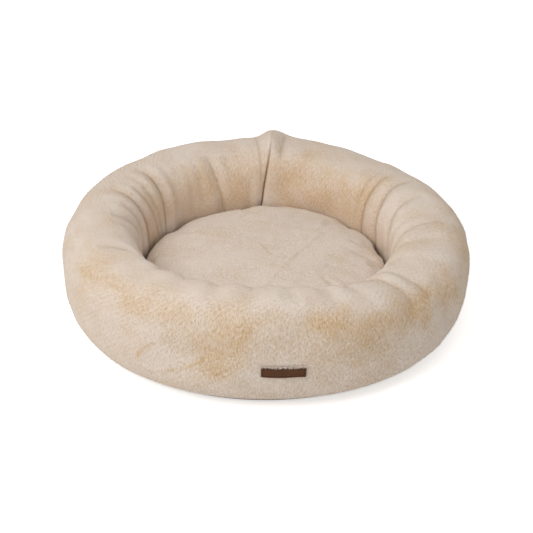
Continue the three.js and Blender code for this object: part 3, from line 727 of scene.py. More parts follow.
def ring_skin():
    """A closed tube of points round the ring, and its four facts. Its rows follow the seam."""
    ways = 360 * way_round(np.arange(SKIN_ROWS) / SKIN_ROWS)
    way, turn = np.meshgrid(ways, full_turns(SKIN_COLUMNS), indexing="ij")
    way, turn = way.ravel(), turn.ravel()
    bearing = way + seam_path(turn)
    points = ring_surface(bearing, turn, PILE_INSET)
    points[:, 2] = np.maximum(points[:, 2], SEAT_HEIGHT)
    # flat also holds painted shade in the folds' valleys, tint holds painted light low in the nest,
    # and deep is painted shade near a crease.
    facts = {
        "flat": brushed_with_shade(bearing, turn, points),
        "tint": nest_painted_light(turn),
        "deep": creases(bearing, turn)[2],
        "ruffled": ruffled(bearing, turn),
    }
    faces, maps = grid_faces(SKIN_ROWS, SKIN_COLUMNS, True, True)
    maps[..., 0] = way_round(maps[..., 0])
    return make_piece("ring_cover", points, [faces], LONG_PLUSH, "bed", [maps], facts)


ring_cover = ring_skin()
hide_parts("bolster_cover")

# %% The ring's pile
PILE_LOW, PILE_HIGH, PILE_SPACING, PILE_PIECES = -62, 230, 3.0, 8
PILE_CELL = (0.7 * PILE_SPACING / 186, 0.7 * PILE_SPACING / 360)
PILE_SWIRL = ((0.7, 42, 31), (0.5, 13, 32))
# A lock's length in mm, what is added to it on the outside, the share that is lost in a crease
# and where it was stroked, and how much further it leans there.
PILE_LENGTH, PILE_LONGER, CREASE_LOSS, STROKED_LOSS, STROKED_LEAN = 2.6, 0.9, 0.5, 0.35, 0.2
PATCH = {"bearing": 4.9, "height": 72.8, "wide": 60, "tall": 16, "corner": 1.2, "tilt": -2.6}
# Steps whose multiples, less their whole part, fill a square evenly.
EVEN_STEPS = (0.7548776662466927, 0.5698402909980532)


def spread(surface, low, high, spacing):
    """Bearings and places of locks, evenly over a surface round the axis, and their shares of
    its area. The places follow the area that lies below each."""
    places = np.linspace(low, high, 400)
    line = surface(np.full(400, 90.0), places)
    radius = np.hypot(line[1:, 0], line[1:, 1])
    area = np.cumsum(np.linalg.norm(np.diff(line, axis=0), axis=1) * radius) * 2 * math.pi
    count = int(area[-1] / spacing**2)
    index = np.arange(count)
    random = np.random.default_rng(5)
    bearing = 360 * np.mod(0.5 + EVEN_STEPS[0] * index, 1) + random.normal(0, 0.22, count)
    share = np.mod(0.5 + EVEN_STEPS[1] * index, 1) + random.normal(0, 0.0022, count)
    share = np.clip(share, 0, 1)
    found = np.interp(share, np.concatenate([[0], area / area[-1]]), places)
    print(f"locks wanted: {count} on {area[-1] / 1e6:.2f} square metres")
    return np.mod(bearing, 360), found, share


def ring_pile():
    """The ring's locks, in pieces by bearing."""

    def skin(first, second):
        return ring_surface(first, second, PILE_INSET)

    bearing, turn, share = spread(skin, PILE_LOW, PILE_HIGH, PILE_SPACING)
    roots, out, _ = surface_frame(skin, bearing, turn)
    aside = np.radians(short_way(bearing, PATCH["bearing"])) * BED_RADIUS
    above = roots[:, 2] - PATCH["height"] - aside * math.radians(PATCH["tilt"])
    under = (np.abs(aside) < PATCH["wide"] / 2 + 0.5) & (np.abs(above) < PATCH["tall"] / 2)
    kept = ~(under & (turn < 60))
    bearing, turn, share, roots, out = (part[kept] for part in (bearing, turn, share, roots, out))
    random, count = np.random.default_rng(6), len(bearing)
    near = creases(bearing, turn)[2]
    flat = brushed_with_shade(bearing, turn, roots)
    downhill = -np.array([0, 0, 1.0]) + 0.55 * unit(roots * (1, 1, 0))
    downhill = unit(downhill - out * (downhill * out).sum(-1, keepdims=True))
    sideways = np.cross(out, downhill)
    swirl = drifts(roots, *PILE_SWIRL) + random.normal(0, 0.3, count)
    lay = downhill * np.cos(swirl)[:, None] + sideways * np.sin(swirl)[:, None]
    outside = np.clip((95 - turn) / 60, 0, 1)
    smooth = outside * stroked(bearing)
    length = (PILE_LENGTH + PILE_LONGER * outside) * random.uniform(0.7, 1.3, count)
    length = length * (1 - CREASE_LOSS * near) * (1 - STROKED_LOSS * smooth)
    lean = 1.15 + 0.1 * flat + STROKED_LEAN * smooth + random.normal(0, 0.1, count)
    lean = np.clip(lean, 0.8, 1.35 + 0.12 * smooth)
    width = random.uniform(0.16, 0.27, count)
    points = locks(roots, out, lay, lean, length, width)
    points[..., 2] = np.maximum(points[..., 2], 0.6)
    # The tint holds painted light low in the nest, and deep below is painted shade near a crease.
    tint = nest_painted_light(turn) * (1.03 + 0.02 * random.normal(0, 1, count))
    facts = {
        "flat": np.clip(flat + random.normal(0, 0.07, count), 0, 1),
        "tint": np.clip(tint, 0.9, 1.25),
        "deep": 0.8 * near,
    }
    whole = ("ring_pile", PILE_PIECES, bearing, share, points, facts, PILE_CELL)
    make_sectors(*whole, "bed", "plush")


ring_pile()

# %% [markdown]
# ## The patch
#
# A small patch of brown leather is stitched flat to the front of the ring, with a line
# pressed in round its edge. It could be a plate cut by Boolean tools, but its faces must
# follow the ring's bulge, so it is a set of rounded rectangles, one inside the next, each at
# its own height off the plush. It is sewn slightly askew, and long pile hangs over its upper
# edge.

# %% The patch
# Share of the half size left, inset from the edge in mm, and height off the surface in mm.
PATCH_RINGS = (
    (0, 4, 0.3), (0.12, 4, 0.32), (0.3, 4, 0.34), (0.5, 4, 0.36), (0.7, 4, 0.38), (0.88, 4, 0.4),
    (1, 3.8, 0.4), (1, 3.3, 0.34), (1, 3, 0.1), (1, 2.75, -0.15), (1, 2.45, -0.15), (1, 2.2, 0.1),
    (1, 1.9, 0.34), (1, 1.2, 0.36), (1, 0.5, 0.26), (1, 0.12, 0), (1, 0, -0.4), (1, 0, -1.1),
    (1, 0.15, -1.4), (0.8, 1, -1.4), (0.5, 1, -1.4), (0.2, 1, -1.4), (0, 1, -1.4),
)
PATCH_CORNERS, PATCH_STEPS = ((1, 1), (-1, 1), (-1, -1), (1, -1)), (44, 14, 44, 14)
FRINGE_LOCKS = 260


def rounded_rectangle(half_wide, half_tall, corner):
    """Points round a rectangle: a quarter circle at each corner and even steps between."""
    bend = np.radians(np.linspace(0, 90, 5))
    arcs = []
    for k, signs in enumerate(PATCH_CORNERS):
        angle = bend + k * math.pi / 2
        middle = np.array([half_wide - corner, half_tall - corner]) * signs
        arcs.append(middle + corner * np.stack([np.cos(angle), np.sin(angle)], -1))
    points = []
    for k, steps in enumerate(PATCH_STEPS):
        start, goal = arcs[k][-1], arcs[(k + 1) % 4][0]
        share = np.linspace(0, 1, steps + 2)[1:-1, None]
        points += [arcs[k], start + (goal - start) * share]
    return np.concatenate(points)


def turn_at(bearing, height):
    """The turn at which the ring's outer side is at a height: the oval's formula, undone."""
    half_height = ring_frame(bearing)[2]
    up = (height - SEAT_HEIGHT) / half_height - 1
    return np.degrees(np.arcsin(np.sign(up) * np.abs(up) ** (RING_SQUARENESS / 2)))


def on_patch(aside, above, off):
    """Points of the patch's own map, in mm from its middle, turned by its tilt and set on the
    ring at a height off its surface."""
    tilt = math.radians(PATCH["tilt"])
    along = aside * math.cos(tilt) - above * math.sin(tilt)
    up = aside * math.sin(tilt) + above * math.cos(tilt)
    bearing = PATCH["bearing"] + np.degrees(along / BED_RADIUS)
    return ring_surface(bearing, turn_at(bearing, PATCH["height"] + up), -off)


def make_leather():
    """Coated split leather, embossed and matt: a grain of fine cells about 1 mm wide, darker
    in its creases, and darker again where the line is pressed."""
    material, tree, shader, here = start_finish("embossed_brown_leather")
    cells = add(tree, "ShaderNodeTexVoronoi", {"Vector": here, "Scale": pitch(1.1)})
    cells = cells.outputs["Distance"]
    clouds = add(tree, "ShaderNodeTexNoise", {"Vector": here, "Scale": pitch(9), "Detail": 4})
    clouds = clouds.outputs["Fac"]
    ends = {0: cells, 6: linear("#5d3c23"), 7: linear("#482c19")}
    grain = add(tree, "ShaderNodeMix", ends, data_type="RGBA").outputs[2]
    pressed = add(tree, "ShaderNodeAttribute", attribute_name="pressed").outputs["Fac"]
    ends = {0: pressed, 6: grain, 7: linear("#392414")}
    lined = add(tree, "ShaderNodeMix", ends, data_type="RGBA").outputs[2]
    tone = {0: clouds, 1: 0.5, 2: 0.75}
    tone = add(tree, "ShaderNodeMath", tone, operation="MULTIPLY_ADD").outputs[0]
    toned = add(tree, "ShaderNodeVectorMath", {0: lined, "Scale": tone}, operation="SCALE")
    height = {"Strength": 0.35, "Distance": 0.0003, "Height": cells}
    bump = add(tree, "ShaderNodeBump", height, invert=True)
    rough = add(tree, "ShaderNodeMapRange", {"Value": clouds, "To Min": 0.5, "To Max": 0.7})
    surface = {
        "Base Color": toned.outputs[0],
        "Normal": bump.outputs[0],
        "Roughness": rough.outputs[0],
        "Specular IOR Level": 0.15,
    }
    set_inputs(tree, shader, surface)
    return material


def leather_patch():
    """The patch: rounded rectangles from the middle of its face, over its edge, to its back."""
    rows, facts = [], []
    for share, inset, off in PATCH_RINGS:
        half = np.array([PATCH["wide"], PATCH["tall"]]) / 2 - inset
        corner = max(PATCH["corner"] - inset, 0.3) * max(share, 0.05)
        ring = rounded_rectangle(*(half * max(share, 0.001)), min(corner, 0.0005 + half[1] * share))
        rows.append(on_patch(ring[:, 0], ring[:, 1], np.full(len(ring), float(off))))
        facts.append(np.full(len(ring), float(off < 0 and 2 < inset < 3)))
    rows = np.stack(rows)
    return make_round("leather_patch", rows, make_leather(), "bed", {"pressed": np.stack(facts)})


def patch_fringe():
    """Longer locks rooted along the patch's upper edge, that hang over it raggedly."""
    random, count = np.random.default_rng(9), FRINGE_LOCKS
    aside = np.linspace(-0.5, 0.5, count) * (PATCH["wide"] + 1) + random.normal(0, 0.5, count)
    beyond = random.uniform(0, 2, count)
    above = PATCH["tall"] / 2 + beyond + aside * math.radians(PATCH["tilt"])
    bearing = PATCH["bearing"] + np.degrees(aside / BED_RADIUS)
    turn = turn_at(bearing, PATCH["height"] + above)
    inset = 0.8 * beyond - 0.3
    roots, out, across = surface_frame(lambda a, b: ring_surface(a, b, inset), bearing, turn)
    lean = random.uniform(1.1, 1.35, count)
    swirl = random.normal(0, 0.35, count)[:, None]
    lay = -across * np.cos(swirl) + np.cross(out, across) * np.sin(swirl)
    length = random.uniform(1.4, 2.8, count) + 0.5 * beyond
    points = locks(roots, out, lay, lean, length, random.uniform(0.25, 0.45, count))
    facts = {
        "flat": random.uniform(0, 0.15, count),
        # The fringe's tint is painted light: its tips are made paler than the rest of the pile, a
        # painted highlight along the patch's upper edge.
        "tint": random.uniform(1.08, 1.2, count),
        "deep": np.zeros(count),
    }
    maps = np.stack([np.linspace(0.02, 0.98, count), 0.5 + 0 * aside], -1)
    return make_pile("patch_fringe", points, maps, (0.003, 0.2), facts, LONG_TIPS, "bed")


patch = leather_patch()
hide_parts("label_patch")
fringe = patch_fringe()

# %% [markdown]
# ## The cushion's form
#
# The cushion is a round pillow with its own cover: short plush above, lining cloth below,
# and a zip let into the seam at the back. Its outline could be a squashed sphere, but a real
# one is full at its crown and tucked in below, so three curves are joined: a crown, a
# tapering side and a flat underside. A place on it is an angle like a turn: 0 at the top of
# the crown, 90 at the widest line, 180 at the foot of the side and 270 below the middle.

# %% The cushion's outline
CUSHION = {"radius": 181.5, "bottom": 12.7, "side": 38, "crown": 42, "tuck": 41.5}
PAD = {"radius": 175.5, "bottom": 17, "side": 33.7, "crown": 36, "tuck": 82}
SEAM_PLACE, ZIP_BEARINGS, FURROW_WIDTH = 125, (118, 242), 12.4


def outline(at, size):
    """The radius and height of a pillow at a place: a crown where the radius is a sine to the
    power 2/3, a quarter ellipse down to the foot, and a straight line to the middle."""
    crown, foot = np.radians(np.clip(at, 0, 90)), np.radians(np.clip(180 - at, 0, 90))
    radius = np.select(
        [at <= 90, at <= 180],
        [
            size["radius"] * np.sin(crown) ** (2 / 3),
            size["radius"] - size["tuck"] * (1 - np.sin(foot)),
        ],
        (size["radius"] - size["tuck"]) * (270 - at) / 90,
    )
    height = np.where(
        at <= 90,
        size["side"] + size["crown"] * np.cos(crown),
        size["side"] * (1 - np.cos(foot)),
    )
    return radius, size["bottom"] + height


def smooth_grid(grid, row, column):
    """A grid of vectors read between its points by cubic curves (Catmull-Rom) both ways. Rows
    go round, and columns end."""
    row_first, column_first = np.floor(row).astype(int), np.floor(column).astype(int)
    weights = []
    for part in (row - row_first, column - column_first):
        square, cube = part**2, part**3
        weights.append(
            (
                (2 * square - part - cube) / 2,
                (2 - 5 * square + 3 * cube) / 2,
                (part + 4 * square - 3 * cube) / 2,
                (cube - square) / 2,
            )
        )
    total = np.zeros((len(row), 3))
    for i in range(4):
        for j in range(4):
            rows = (row_first + i - 1) % len(grid)
            columns = np.clip(column_first + j - 1, 0, grid.shape[1] - 1)
            total += (weights[0][i] * weights[1][j])[:, None] * grid[rows, columns]
    return total


def pillow_surface(bearing, at, depth, size, moves, stations):
    """Points at a depth below a pillow's outline, moved by a grid of vectors that is given at
    stations of place."""
    bearing, at, depth = np.broadcast_arrays(bearing, at, depth)
    radius, height = outline(at, size)
    before = outline(np.maximum(at - 0.01, 0), size)
    after = outline(np.minimum(at + 0.01, 270), size)
    run, rise = after[0] - before[0], after[1] - before[1]
    length = np.hypot(run, rise)
    ends = (at <= 0) | (at >= 270)
    radius = np.where(ends, 0, radius + rise / length * depth)
    points = place(bearing, radius, height - run / length * depth)
    row = np.mod(bearing / 360, 1) * len(moves)
    column = np.interp(at, stations, np.arange(len(stations)))
    moved = smooth_grid(moves, row.ravel(), column.ravel())
    return points + moved.reshape(points.shape)


# %% [markdown]
# ## Blown up by simulation
#
# Stuffing pushes the cover out in soft, uneven lumps that a formula doesn't give. Blender's
# cloth does: a copy of the outline, a little slack, is blown up by pressure with gravity off
# while its seam and its flat underside are held. Only the moves of its points are kept, each
# no longer than a few millimetres, and they are added to every layer of the cushion, with one
# wave in its back edge that the photograph shows.

# %% The simulation
CLOTH_BEARINGS, CLOTH_FRAMES, CLOTH_CAP = 96, 20, 2.8
# The cloth is 3.5 % slack, stiff enough to keep out fine wrinkles, and held by a group of points.
CLOTH_SETTINGS = {
    "quality": 6,
    "use_pressure": True,
    "uniform_pressure_force": 4,
    "shrink_min": -0.035,
    "bending_stiffness": 0.6,
    "vertex_group_mass": "held",
}
# How uneven the slack copy starts, as strength, size and seed of a drift.
CLOTH_UNEVEN = (0.5, 60, 41)
CLOTH_STATIONS = np.array(
    [0, 0.5, 2, 4, 7, 11, 15, 20, 25, 31, 37, 43, 49, 55, 61, 66, 71, 75, 79, 83, 87, 91,
     96, 102, 109, 117, 125, 134, 146, 160, 180, 210, 240, 270.0]
)
# The back edge's wave: height in mm, and middle and reach in degrees of bearing. Then the
# middle and reach of the places that it lifts.
EDGE_WAVES, WAVE_PLACE, WAVE_REACH = ((4, 179, 9), (-4.5, 203, 13)), 66, 26
# The places where the cushion fills the nest, and how far out it may move there, in mm.
TIGHT_PLACES, TIGHT_MOVE = (58, 130), 0.3


def blow_up():
    """A grid of moves, rows by bearing and columns by station, from a short cloth run."""
    flat = np.zeros((CLOTH_BEARINGS, len(CLOTH_STATIONS), 3))
    bearings = np.arange(CLOTH_BEARINGS) / CLOTH_BEARINGS * 360
    at, bearing = np.meshgrid(CLOTH_STATIONS, bearings, indexing="ij")
    rows = pillow_surface(bearing, at, 0, CUSHION, flat, CLOTH_STATIONS)
    rows += unit(rows - (0, 0, 40)) * drifts(rows, CLOTH_UNEVEN)[..., None]
    cover = make_round("cloth", rows, LONG_PLUSH, "cushion")
    held = cover.vertex_groups.new(name="held")
    low = np.flatnonzero(np.concatenate([at[:1, 0], at[1:-1].ravel(), at[-1:, 0]]) >= SEAM_PLACE)
    held.add([int(i) for i in low], 1.0, "REPLACE")
    cloth = cover.modifiers.new("cloth", "CLOTH")
    for word, value in CLOTH_SETTINGS.items():
        setattr(cloth.settings, word, value)
    cloth.settings.effector_weights.gravity = 0
    for step in range(1, CLOTH_FRAMES + 1):
        bpy.context.scene.frame_set(step)
    seen = cover.evaluated_get(bpy.context.evaluated_depsgraph_get()).data
    found = np.empty(len(seen.vertices) * 3, np.float32)
    seen.vertices.foreach_get("co", found)
    bpy.context.scene.frame_set(1)
    bpy.data.objects.remove(cover)
    start = np.concatenate([rows[0, :1], rows[1:-1].reshape(-1, 3), rows[-1, :1]])
    moves = found.reshape(-1, 3) / MM - start
    inner = moves[1:-1].reshape(len(CLOTH_STATIONS) - 2, CLOTH_BEARINGS, 3)
    ends = [np.broadcast_to(moves[k], (1, CLOTH_BEARINGS, 3)) for k in (0, -1)]
    grid = np.concatenate([ends[0], inner, ends[1]]).transpose(1, 0, 2)
    print("cloth moved by up to, mm:", round(float(np.linalg.norm(grid, axis=-1).max()), 1))
    return grid


def edge_wave(bearing):
    """How far the cushion's back edge stands up, in mm: a bell behind and a dip beside it."""
    return sum(height * bell(bearing - at, reach) for height, at, reach in EDGE_WAVES)


def calm(grid):
    """The moves less the swelling that all bearings share, none longer than the cap, and none
    outwards where the cushion fills the nest."""
    bearings = np.arange(len(grid)) / len(grid) * 360
    out = place(bearings, np.ones(len(grid)), 0 * bearings)[:, None]
    axes = np.stack([out, np.cross((0, 0, 1.0), out), 0 * out + (0, 0, 1.0)], -1)
    parts = np.einsum("rsc,rsck->rsk", grid, np.broadcast_to(axes, (*grid.shape, 3)))
    parts = parts - parts.mean(0)
    size = np.linalg.norm(parts, axis=-1, keepdims=True)
    parts = parts * np.minimum(1, CLOTH_CAP / np.maximum(size, 1e-6))
    parts[..., 2] += edge_wave(bearings)[:, None] * bell(CLOTH_STATIONS - WAVE_PLACE, WAVE_REACH)
    tight = (CLOTH_STATIONS > TIGHT_PLACES[0]) & (CLOTH_STATIONS < TIGHT_PLACES[1])
    parts[:, tight, 0] = np.minimum(parts[:, tight, 0], TIGHT_MOVE)
    return np.einsum("rsk,rsck->rsc", parts, np.broadcast_to(axes, (*grid.shape, 3)))


CUSHION_MOVES = calm(blow_up())


def cushion_surface(bearing, at, depth=0.0):
    """Points at a depth below the cushion's cover."""
    return pillow_surface(bearing, at, depth, CUSHION, CUSHION_MOVES, CLOTH_STATIONS)


# Lines where the cushion was folded, where the pile is drawn flatter and darker: partly pressed
# pile and partly painted crease shade. The ends of each line, in mm, and how wide the lines are.
FOLD_LINES_PRESSED_AND_SHADED = np.array(
    [((8, -91), (24, -60)), ((24, -60), (43, -27)), ((43, -27), (88, 46)), ((-8, 17), (10, -19))]
)
PRESSED_WIDTH = 1.6


def pressed(points):
    """How near each point is to a fold line, from 0 to 1, where the pile is pressed and painted
    crease shade lies.
    """
    return near_lines(points[:, :2], FOLD_LINES_PRESSED_AND_SHADED, PRESSED_WIDTH)


# %% [markdown]
# ## The cushion's cover
#
# The cover is two panels, each a closed shell: the plush top comes over the crown and down to
# the seam, and the lining cloth closes it below. Each could be one surface made thick by a
# modifier, but its edge should roll in at the zip, so one profile runs out along the outside,
# round the edge and back inside. The seam opens into a furrow where the zip is let in.

# %% The panels' rows
CUSHION_INSET, PANEL_BACK, PANEL_COLUMNS = 1.2, 3.9, 256
MM_PER_DEGREE = 0.684
CUSHION_BEARINGS = np.arange(PANEL_COLUMNS) / PANEL_COLUMNS * 360


def half_opening(bearing):
    """Half the gap between the panels, as a place: the furrow along the zip, and a hair
    elsewhere."""
    inside = np.minimum(bearing - ZIP_BEARINGS[0], ZIP_BEARINGS[1] - bearing)
    opened = np.clip(inside / 2 + 1, 0, 1)
    return (0.2 + (FURROW_WIDTH / 2 - 0.2) * opened**2 * (3 - 2 * opened)) / MM_PER_DEGREE


def panel_rows(pole, edge, depths, size, counts=(60, 30), power=1.5):
    """Rows of a shell from a pole's place to an edge's places, at two depths: out along the
    outside, half a circle round the edge, and back inside."""
    near, far = depths
    half, middle = (far - near) / 2, (near + far) / 2
    rolled = (1 if pole == 0 else -1) * half / MM_PER_DEGREE
    stop = edge - rolled
    span = stop - pole
    out = np.linspace(0, 1, counts[0])[:, None] ** power
    back = np.linspace(1, 0, counts[1])[:, None] ** power
    bend = np.radians(np.linspace(0, 180, 7)[1:-1])[:, None]
    at = np.concatenate([pole + span * out, stop + rolled * np.sin(bend), pole + span * back])
    depth = np.concatenate([near + 0 * out, middle - half * np.cos(bend), far + 0 * back])
    bearing, at, depth = np.broadcast_arrays(CUSHION_BEARINGS[None], at, depth)
    order = slice(None) if pole == 0 else slice(None, None, -1)
    points = pillow_surface(bearing, at, depth, size, CUSHION_MOVES, CLOTH_STATIONS)
    return points[order], at[order]


# %% The top panel
SHORT_PLUSH = make_plush("short_pile_plush", (1000, 1000, 1000), (1.9, 2.4), 0.65, 0.2, False)
SHORT_LEVEL, SHORT_DRIFTS = 0.1, ((0.08, 90, 51), (0.08, 20, 52))


def cushion_brushed(points):
    """How flat the short pile lies: a slow drift and a finer one, round a level."""
    return np.clip(SHORT_LEVEL + drifts(points, *SHORT_DRIFTS), 0, 1)


def cushion_top():
    """The plush panel from the crown to the seam."""
    edge = SEAM_PLACE - half_opening(CUSHION_BEARINGS)
    rows, at = panel_rows(0, edge[None], (CUSHION_INSET, PANEL_BACK), CUSHION)
    # Along the fold lines the pile is flatter and darker: partly pressed pile, partly painted
    # crease shade.
    line = pressed(rows.reshape(-1, 3)).reshape(at.shape)
    flat = cushion_brushed(rows.reshape(-1, 3)).reshape(at.shape)
    facts = {
        "flat": flat + 0.25 * line,
        "tint": 0.96 - 0.05 * line,
        "deep": 0 * at,
        "ruffled": 1 + 0 * at,
    }
    return make_round("cushion_top", rows, SHORT_PLUSH, "cushion", facts)


top_panel = cushion_top()
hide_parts("cushion_top_panel")

# %% The cushion's pile
SHORT_SPACING, SHORT_LENGTH = 3.0, 2.2
SHORT_CELL = (0.7 * SHORT_SPACING / 570, 0.7 * SHORT_SPACING / 270)
SHORT_SWIRL = ((0.9, 70, 61), (0.6, 16, 62))


def cushion_pile():
    """Short locks on the top panel, that stop at the seam and the zip's furrow."""

    def skin(first, second):
        return cushion_surface(first, np.maximum(second, 0), CUSHION_INSET)

    bearing, at, share = spread(skin, 0.02, 124.4, SHORT_SPACING)
    kept = at < SEAM_PLACE - half_opening(bearing) - 0.8
    bearing, at, share = bearing[kept], at[kept], share[kept]
    random, count = np.random.default_rng(8), len(bearing)
    roots, out, _ = surface_frame(skin, bearing, at)
    angle = drifts(roots, *SHORT_SWIRL) + random.normal(0, 0.4, count)
    north = unit(np.cross(out, (1.0, 0.25, 0)))
    east = np.cross(north, out)
    lay = north * np.cos(angle)[:, None] + east * np.sin(angle)[:, None]
    length = SHORT_LENGTH * random.uniform(0.7, 1.3, count)
    lean = np.clip(1.1 + random.normal(0, 0.12, count), 0.7, 1.3)
    points = locks(roots, out, lay, lean, length, random.uniform(0.16, 0.26, count))
    facts = {
        "flat": np.clip(cushion_brushed(roots) + random.normal(0, 0.07, count), 0, 1),
        "tint": np.clip(1 + 0.025 * random.normal(0, 1, count), 0.8, 1.15),
        "deep": np.zeros(count),
    }
    whole = ("cushion_pile", 2, bearing, share, points, facts, SHORT_CELL)
    make_sectors(*whole, "cushion", "cushion_plush")


cushion_pile()

# %% [markdown]
# ## Woven cloth
#
# The lining, the base and the zip's tapes are plain woven polyester: threads cross over and
# under in rows a fraction of a millimetre apart. A picture of cloth could be laid on them, but
# a weave is only two waves: where the product of the waves across and along is high, one
# thread is on top. The threads follow the piece's own map, so they run round and across it on
# every side. Real threads are too fine to show, so they are drawn coarser. The pad's case
# isn't woven, and there the same pattern stands for the dots that its fibres are pressed by.

# %% Cloth


def make_cloth(name, thread, gap_colour, counts, rough):
    """Plain weave: threads counted across the two ways of the piece's map, of one colour on
    top and of another in the gaps."""
    material, tree, shader, here = start_finish(name)
    way = add(tree, "ShaderNodeUVMap", uv_map="OFBake").outputs["UV"]
    apart = add(tree, "ShaderNodeSeparateXYZ", {"Vector": way})
    waves = []
    for axis, count in zip("XY", counts):
        scaled = {0: apart.outputs[axis], 1: count * 2 * math.pi}
        angle = add(tree, "ShaderNodeMath", scaled, operation="MULTIPLY").outputs[0]
        waves.append(add(tree, "ShaderNodeMath", {0: angle}, operation="SINE").outputs[0])
    crossed = add(tree, "ShaderNodeMath", {0: waves[0], 1: waves[1]}, operation="MULTIPLY")
    raised = {0: crossed.outputs[0], 1: 0.5, 2: 0.5}
    height = add(tree, "ShaderNodeMath", raised, operation="MULTIPLY_ADD").outputs[0]
    worn = add(tree, "ShaderNodeTexNoise", {"Vector": here, "Scale": pitch(25), "Detail": 4})
    ends = {0: height, 6: linear(gap_colour), 7: linear(thread)}
    woven = add(tree, "ShaderNodeMix", ends, data_type="RGBA").outputs[2]
    tone = {0: worn.outputs["Fac"], 1: 0.2, 2: 0.9}
    level = add(tree, "ShaderNodeMath", tone, operation="MULTIPLY_ADD").outputs[0]
    toned = add(tree, "ShaderNodeVectorMath", {0: woven, "Scale": level}, operation="SCALE")
    bump = add(tree, "ShaderNodeBump", {"Strength": 0.5, "Distance": 0.0004, "Height": height})
    surface = {
        "Base Color": toned.outputs[0],
        "Normal": bump.outputs[0],
        "Roughness": rough,
        "Specular IOR Level": 0.3,
        "Sheen Weight": 0.15,
    }
    set_inputs(tree, shader, surface)
    return material


LINING_CLOTH = make_cloth("woven_polyester_lining", "#cdbfae", "#a39482", (560, 150), 0.85)
BASE_CLOTH = make_cloth("woven_polyester_base", "#9d9082", "#6f6559", (620, 220), 0.8)
CASE_CLOTH = make_cloth("nonwoven_pad_case", "#efece6", "#d9d4cb", (560, 200), 0.95)

# %% [markdown]
# ## Fibre filling
#
# The ring, the pad and the floor of the nest are filled with crimped polyester fibre, which
# shows only if a cover is opened. White wisps could be modelled as the pile is, but here a
# cloudy surface is enough: noise at two sizes, one for clumps and one for fibres.

# %% Filling


def make_filling():
    """Matted white fibre: clumps about 14 mm wide, and fibres drawn at 1.5 mm."""
    material, tree, shader, here = start_finish("crimped_polyester_fibre")
    clumps, _ = mottled(tree, here, 14, 5, ("#dedbd4", "#fbfaf7"))
    fibres = add(tree, "ShaderNodeTexNoise", {"Vector": here, "Scale": pitch(1.5), "Detail": 3})
    raised = {"Strength": 0.6, "Distance": 0.001, "Height": fibres.outputs["Fac"]}
    bump = add(tree, "ShaderNodeBump", raised).outputs[0]
    set_inputs(tree, shader, {"Base Color": clumps, "Normal": bump, "Roughness": 1.0})
    return material


FIBRE = make_filling()
FILLING_ROWS, FILLING_COLUMNS, FILLING_INSET = 240, 40, 15.0


def ring_filling():
    """The ring's filling: the cover's own form, drawn in by 15 mm, so it follows the folds."""
    bearings = np.arange(FILLING_ROWS) / FILLING_ROWS * 360
    turns = np.arange(FILLING_COLUMNS) / FILLING_COLUMNS * 360 - 90
    bearing, turn = np.meshgrid(bearings, turns, indexing="ij")
    points = ring_surface(bearing.ravel(), turn.ravel(), FILLING_INSET)
    points[:, 2] = np.maximum(points[:, 2], SEAT_HEIGHT + 4)
    faces, maps = grid_faces(FILLING_ROWS, FILLING_COLUMNS, True, True)
    return make_piece("ring_filling", points, [faces], FIBRE, "bed", [maps])


filling = ring_filling()
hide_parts("bolster_filling")

# %% [markdown]
# ## Under the cushion
#
# Below the plush lies the rest of the cushion: its underside panel, and inside it a pad in a
# case of its own. They follow the same outline and the same moves, each a little deeper, so
# no layer cuts through another.

# %% The underside and the pad


def cushion_layers():
    """Each layer's rows, and its name, finish, slot, node and how full it is: the underside
    panel, the pad's case in two halves and the pad's filling."""
    seam = SEAM_PLACE + half_opening(CUSHION_BEARINGS)[None]
    middle = np.full((1, PANEL_COLUMNS), 90.0)
    at = 270 * np.linspace(0, 1, 60)[:, None] ** 1.3
    bearing, at = np.broadcast_arrays(CUSHION_BEARINGS[None, ::2], at)
    under = panel_rows(270, seam, (0.1, PANEL_BACK), CUSHION, (40, 20), 1.0)[0]
    top = panel_rows(0, middle - 0.4, (0.3, 1.4), PAD, (40, 20))[0]
    foot = panel_rows(270, middle + 0.4, (0.3, 1.4), PAD, (40, 20), 1.0)[0]
    fibre = pillow_surface(bearing, at, 1.8, PAD, CUSHION_MOVES, CLOTH_STATIONS)
    return (
        (under, "cushion_underside", LINING_CLOTH, "lining_fabric", "cushion_bottom_panel", 0.8),
        (top, "case_top", CASE_CLOTH, "pad_case", "pad_case_top", 0.8),
        (foot, "case_underside", CASE_CLOTH, "pad_case", "pad_case_bottom", 0.8),
        (fibre, "pad_fibre", FIBRE, "fibre_fill", "pad_filling", 0.9),
    )


for rows, name, material, slot, node, full in cushion_layers():
    piece = make_round(name, rows, material, "cushion")
    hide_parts(node)

# %% [markdown]
# ## The base and the floor of the nest
#
# The ring is sewn to a round cloth with rubber dots below, which keep it from sliding. On it,
# inside the ring, lie a layer of wadding and a lining. They are discs whose edges follow the
# ring's foot. The dots are printed in rows, so one small dome is repeated on a grid of
# triangles.

# %% Discs
FOOT_SHARE, DISC_COLUMNS, DISC_ROWS = 0.3, 240, 26
DISC_BEARINGS = np.arange(DISC_COLUMNS) / DISC_COLUMNS * 360
# The height of the nest's floor, the turn at which its edge is measured, and the gap there.
FLOOR_TOP, FLOOR_TURN, FLOOR_GAP = 12.4, 214.0, 1.5


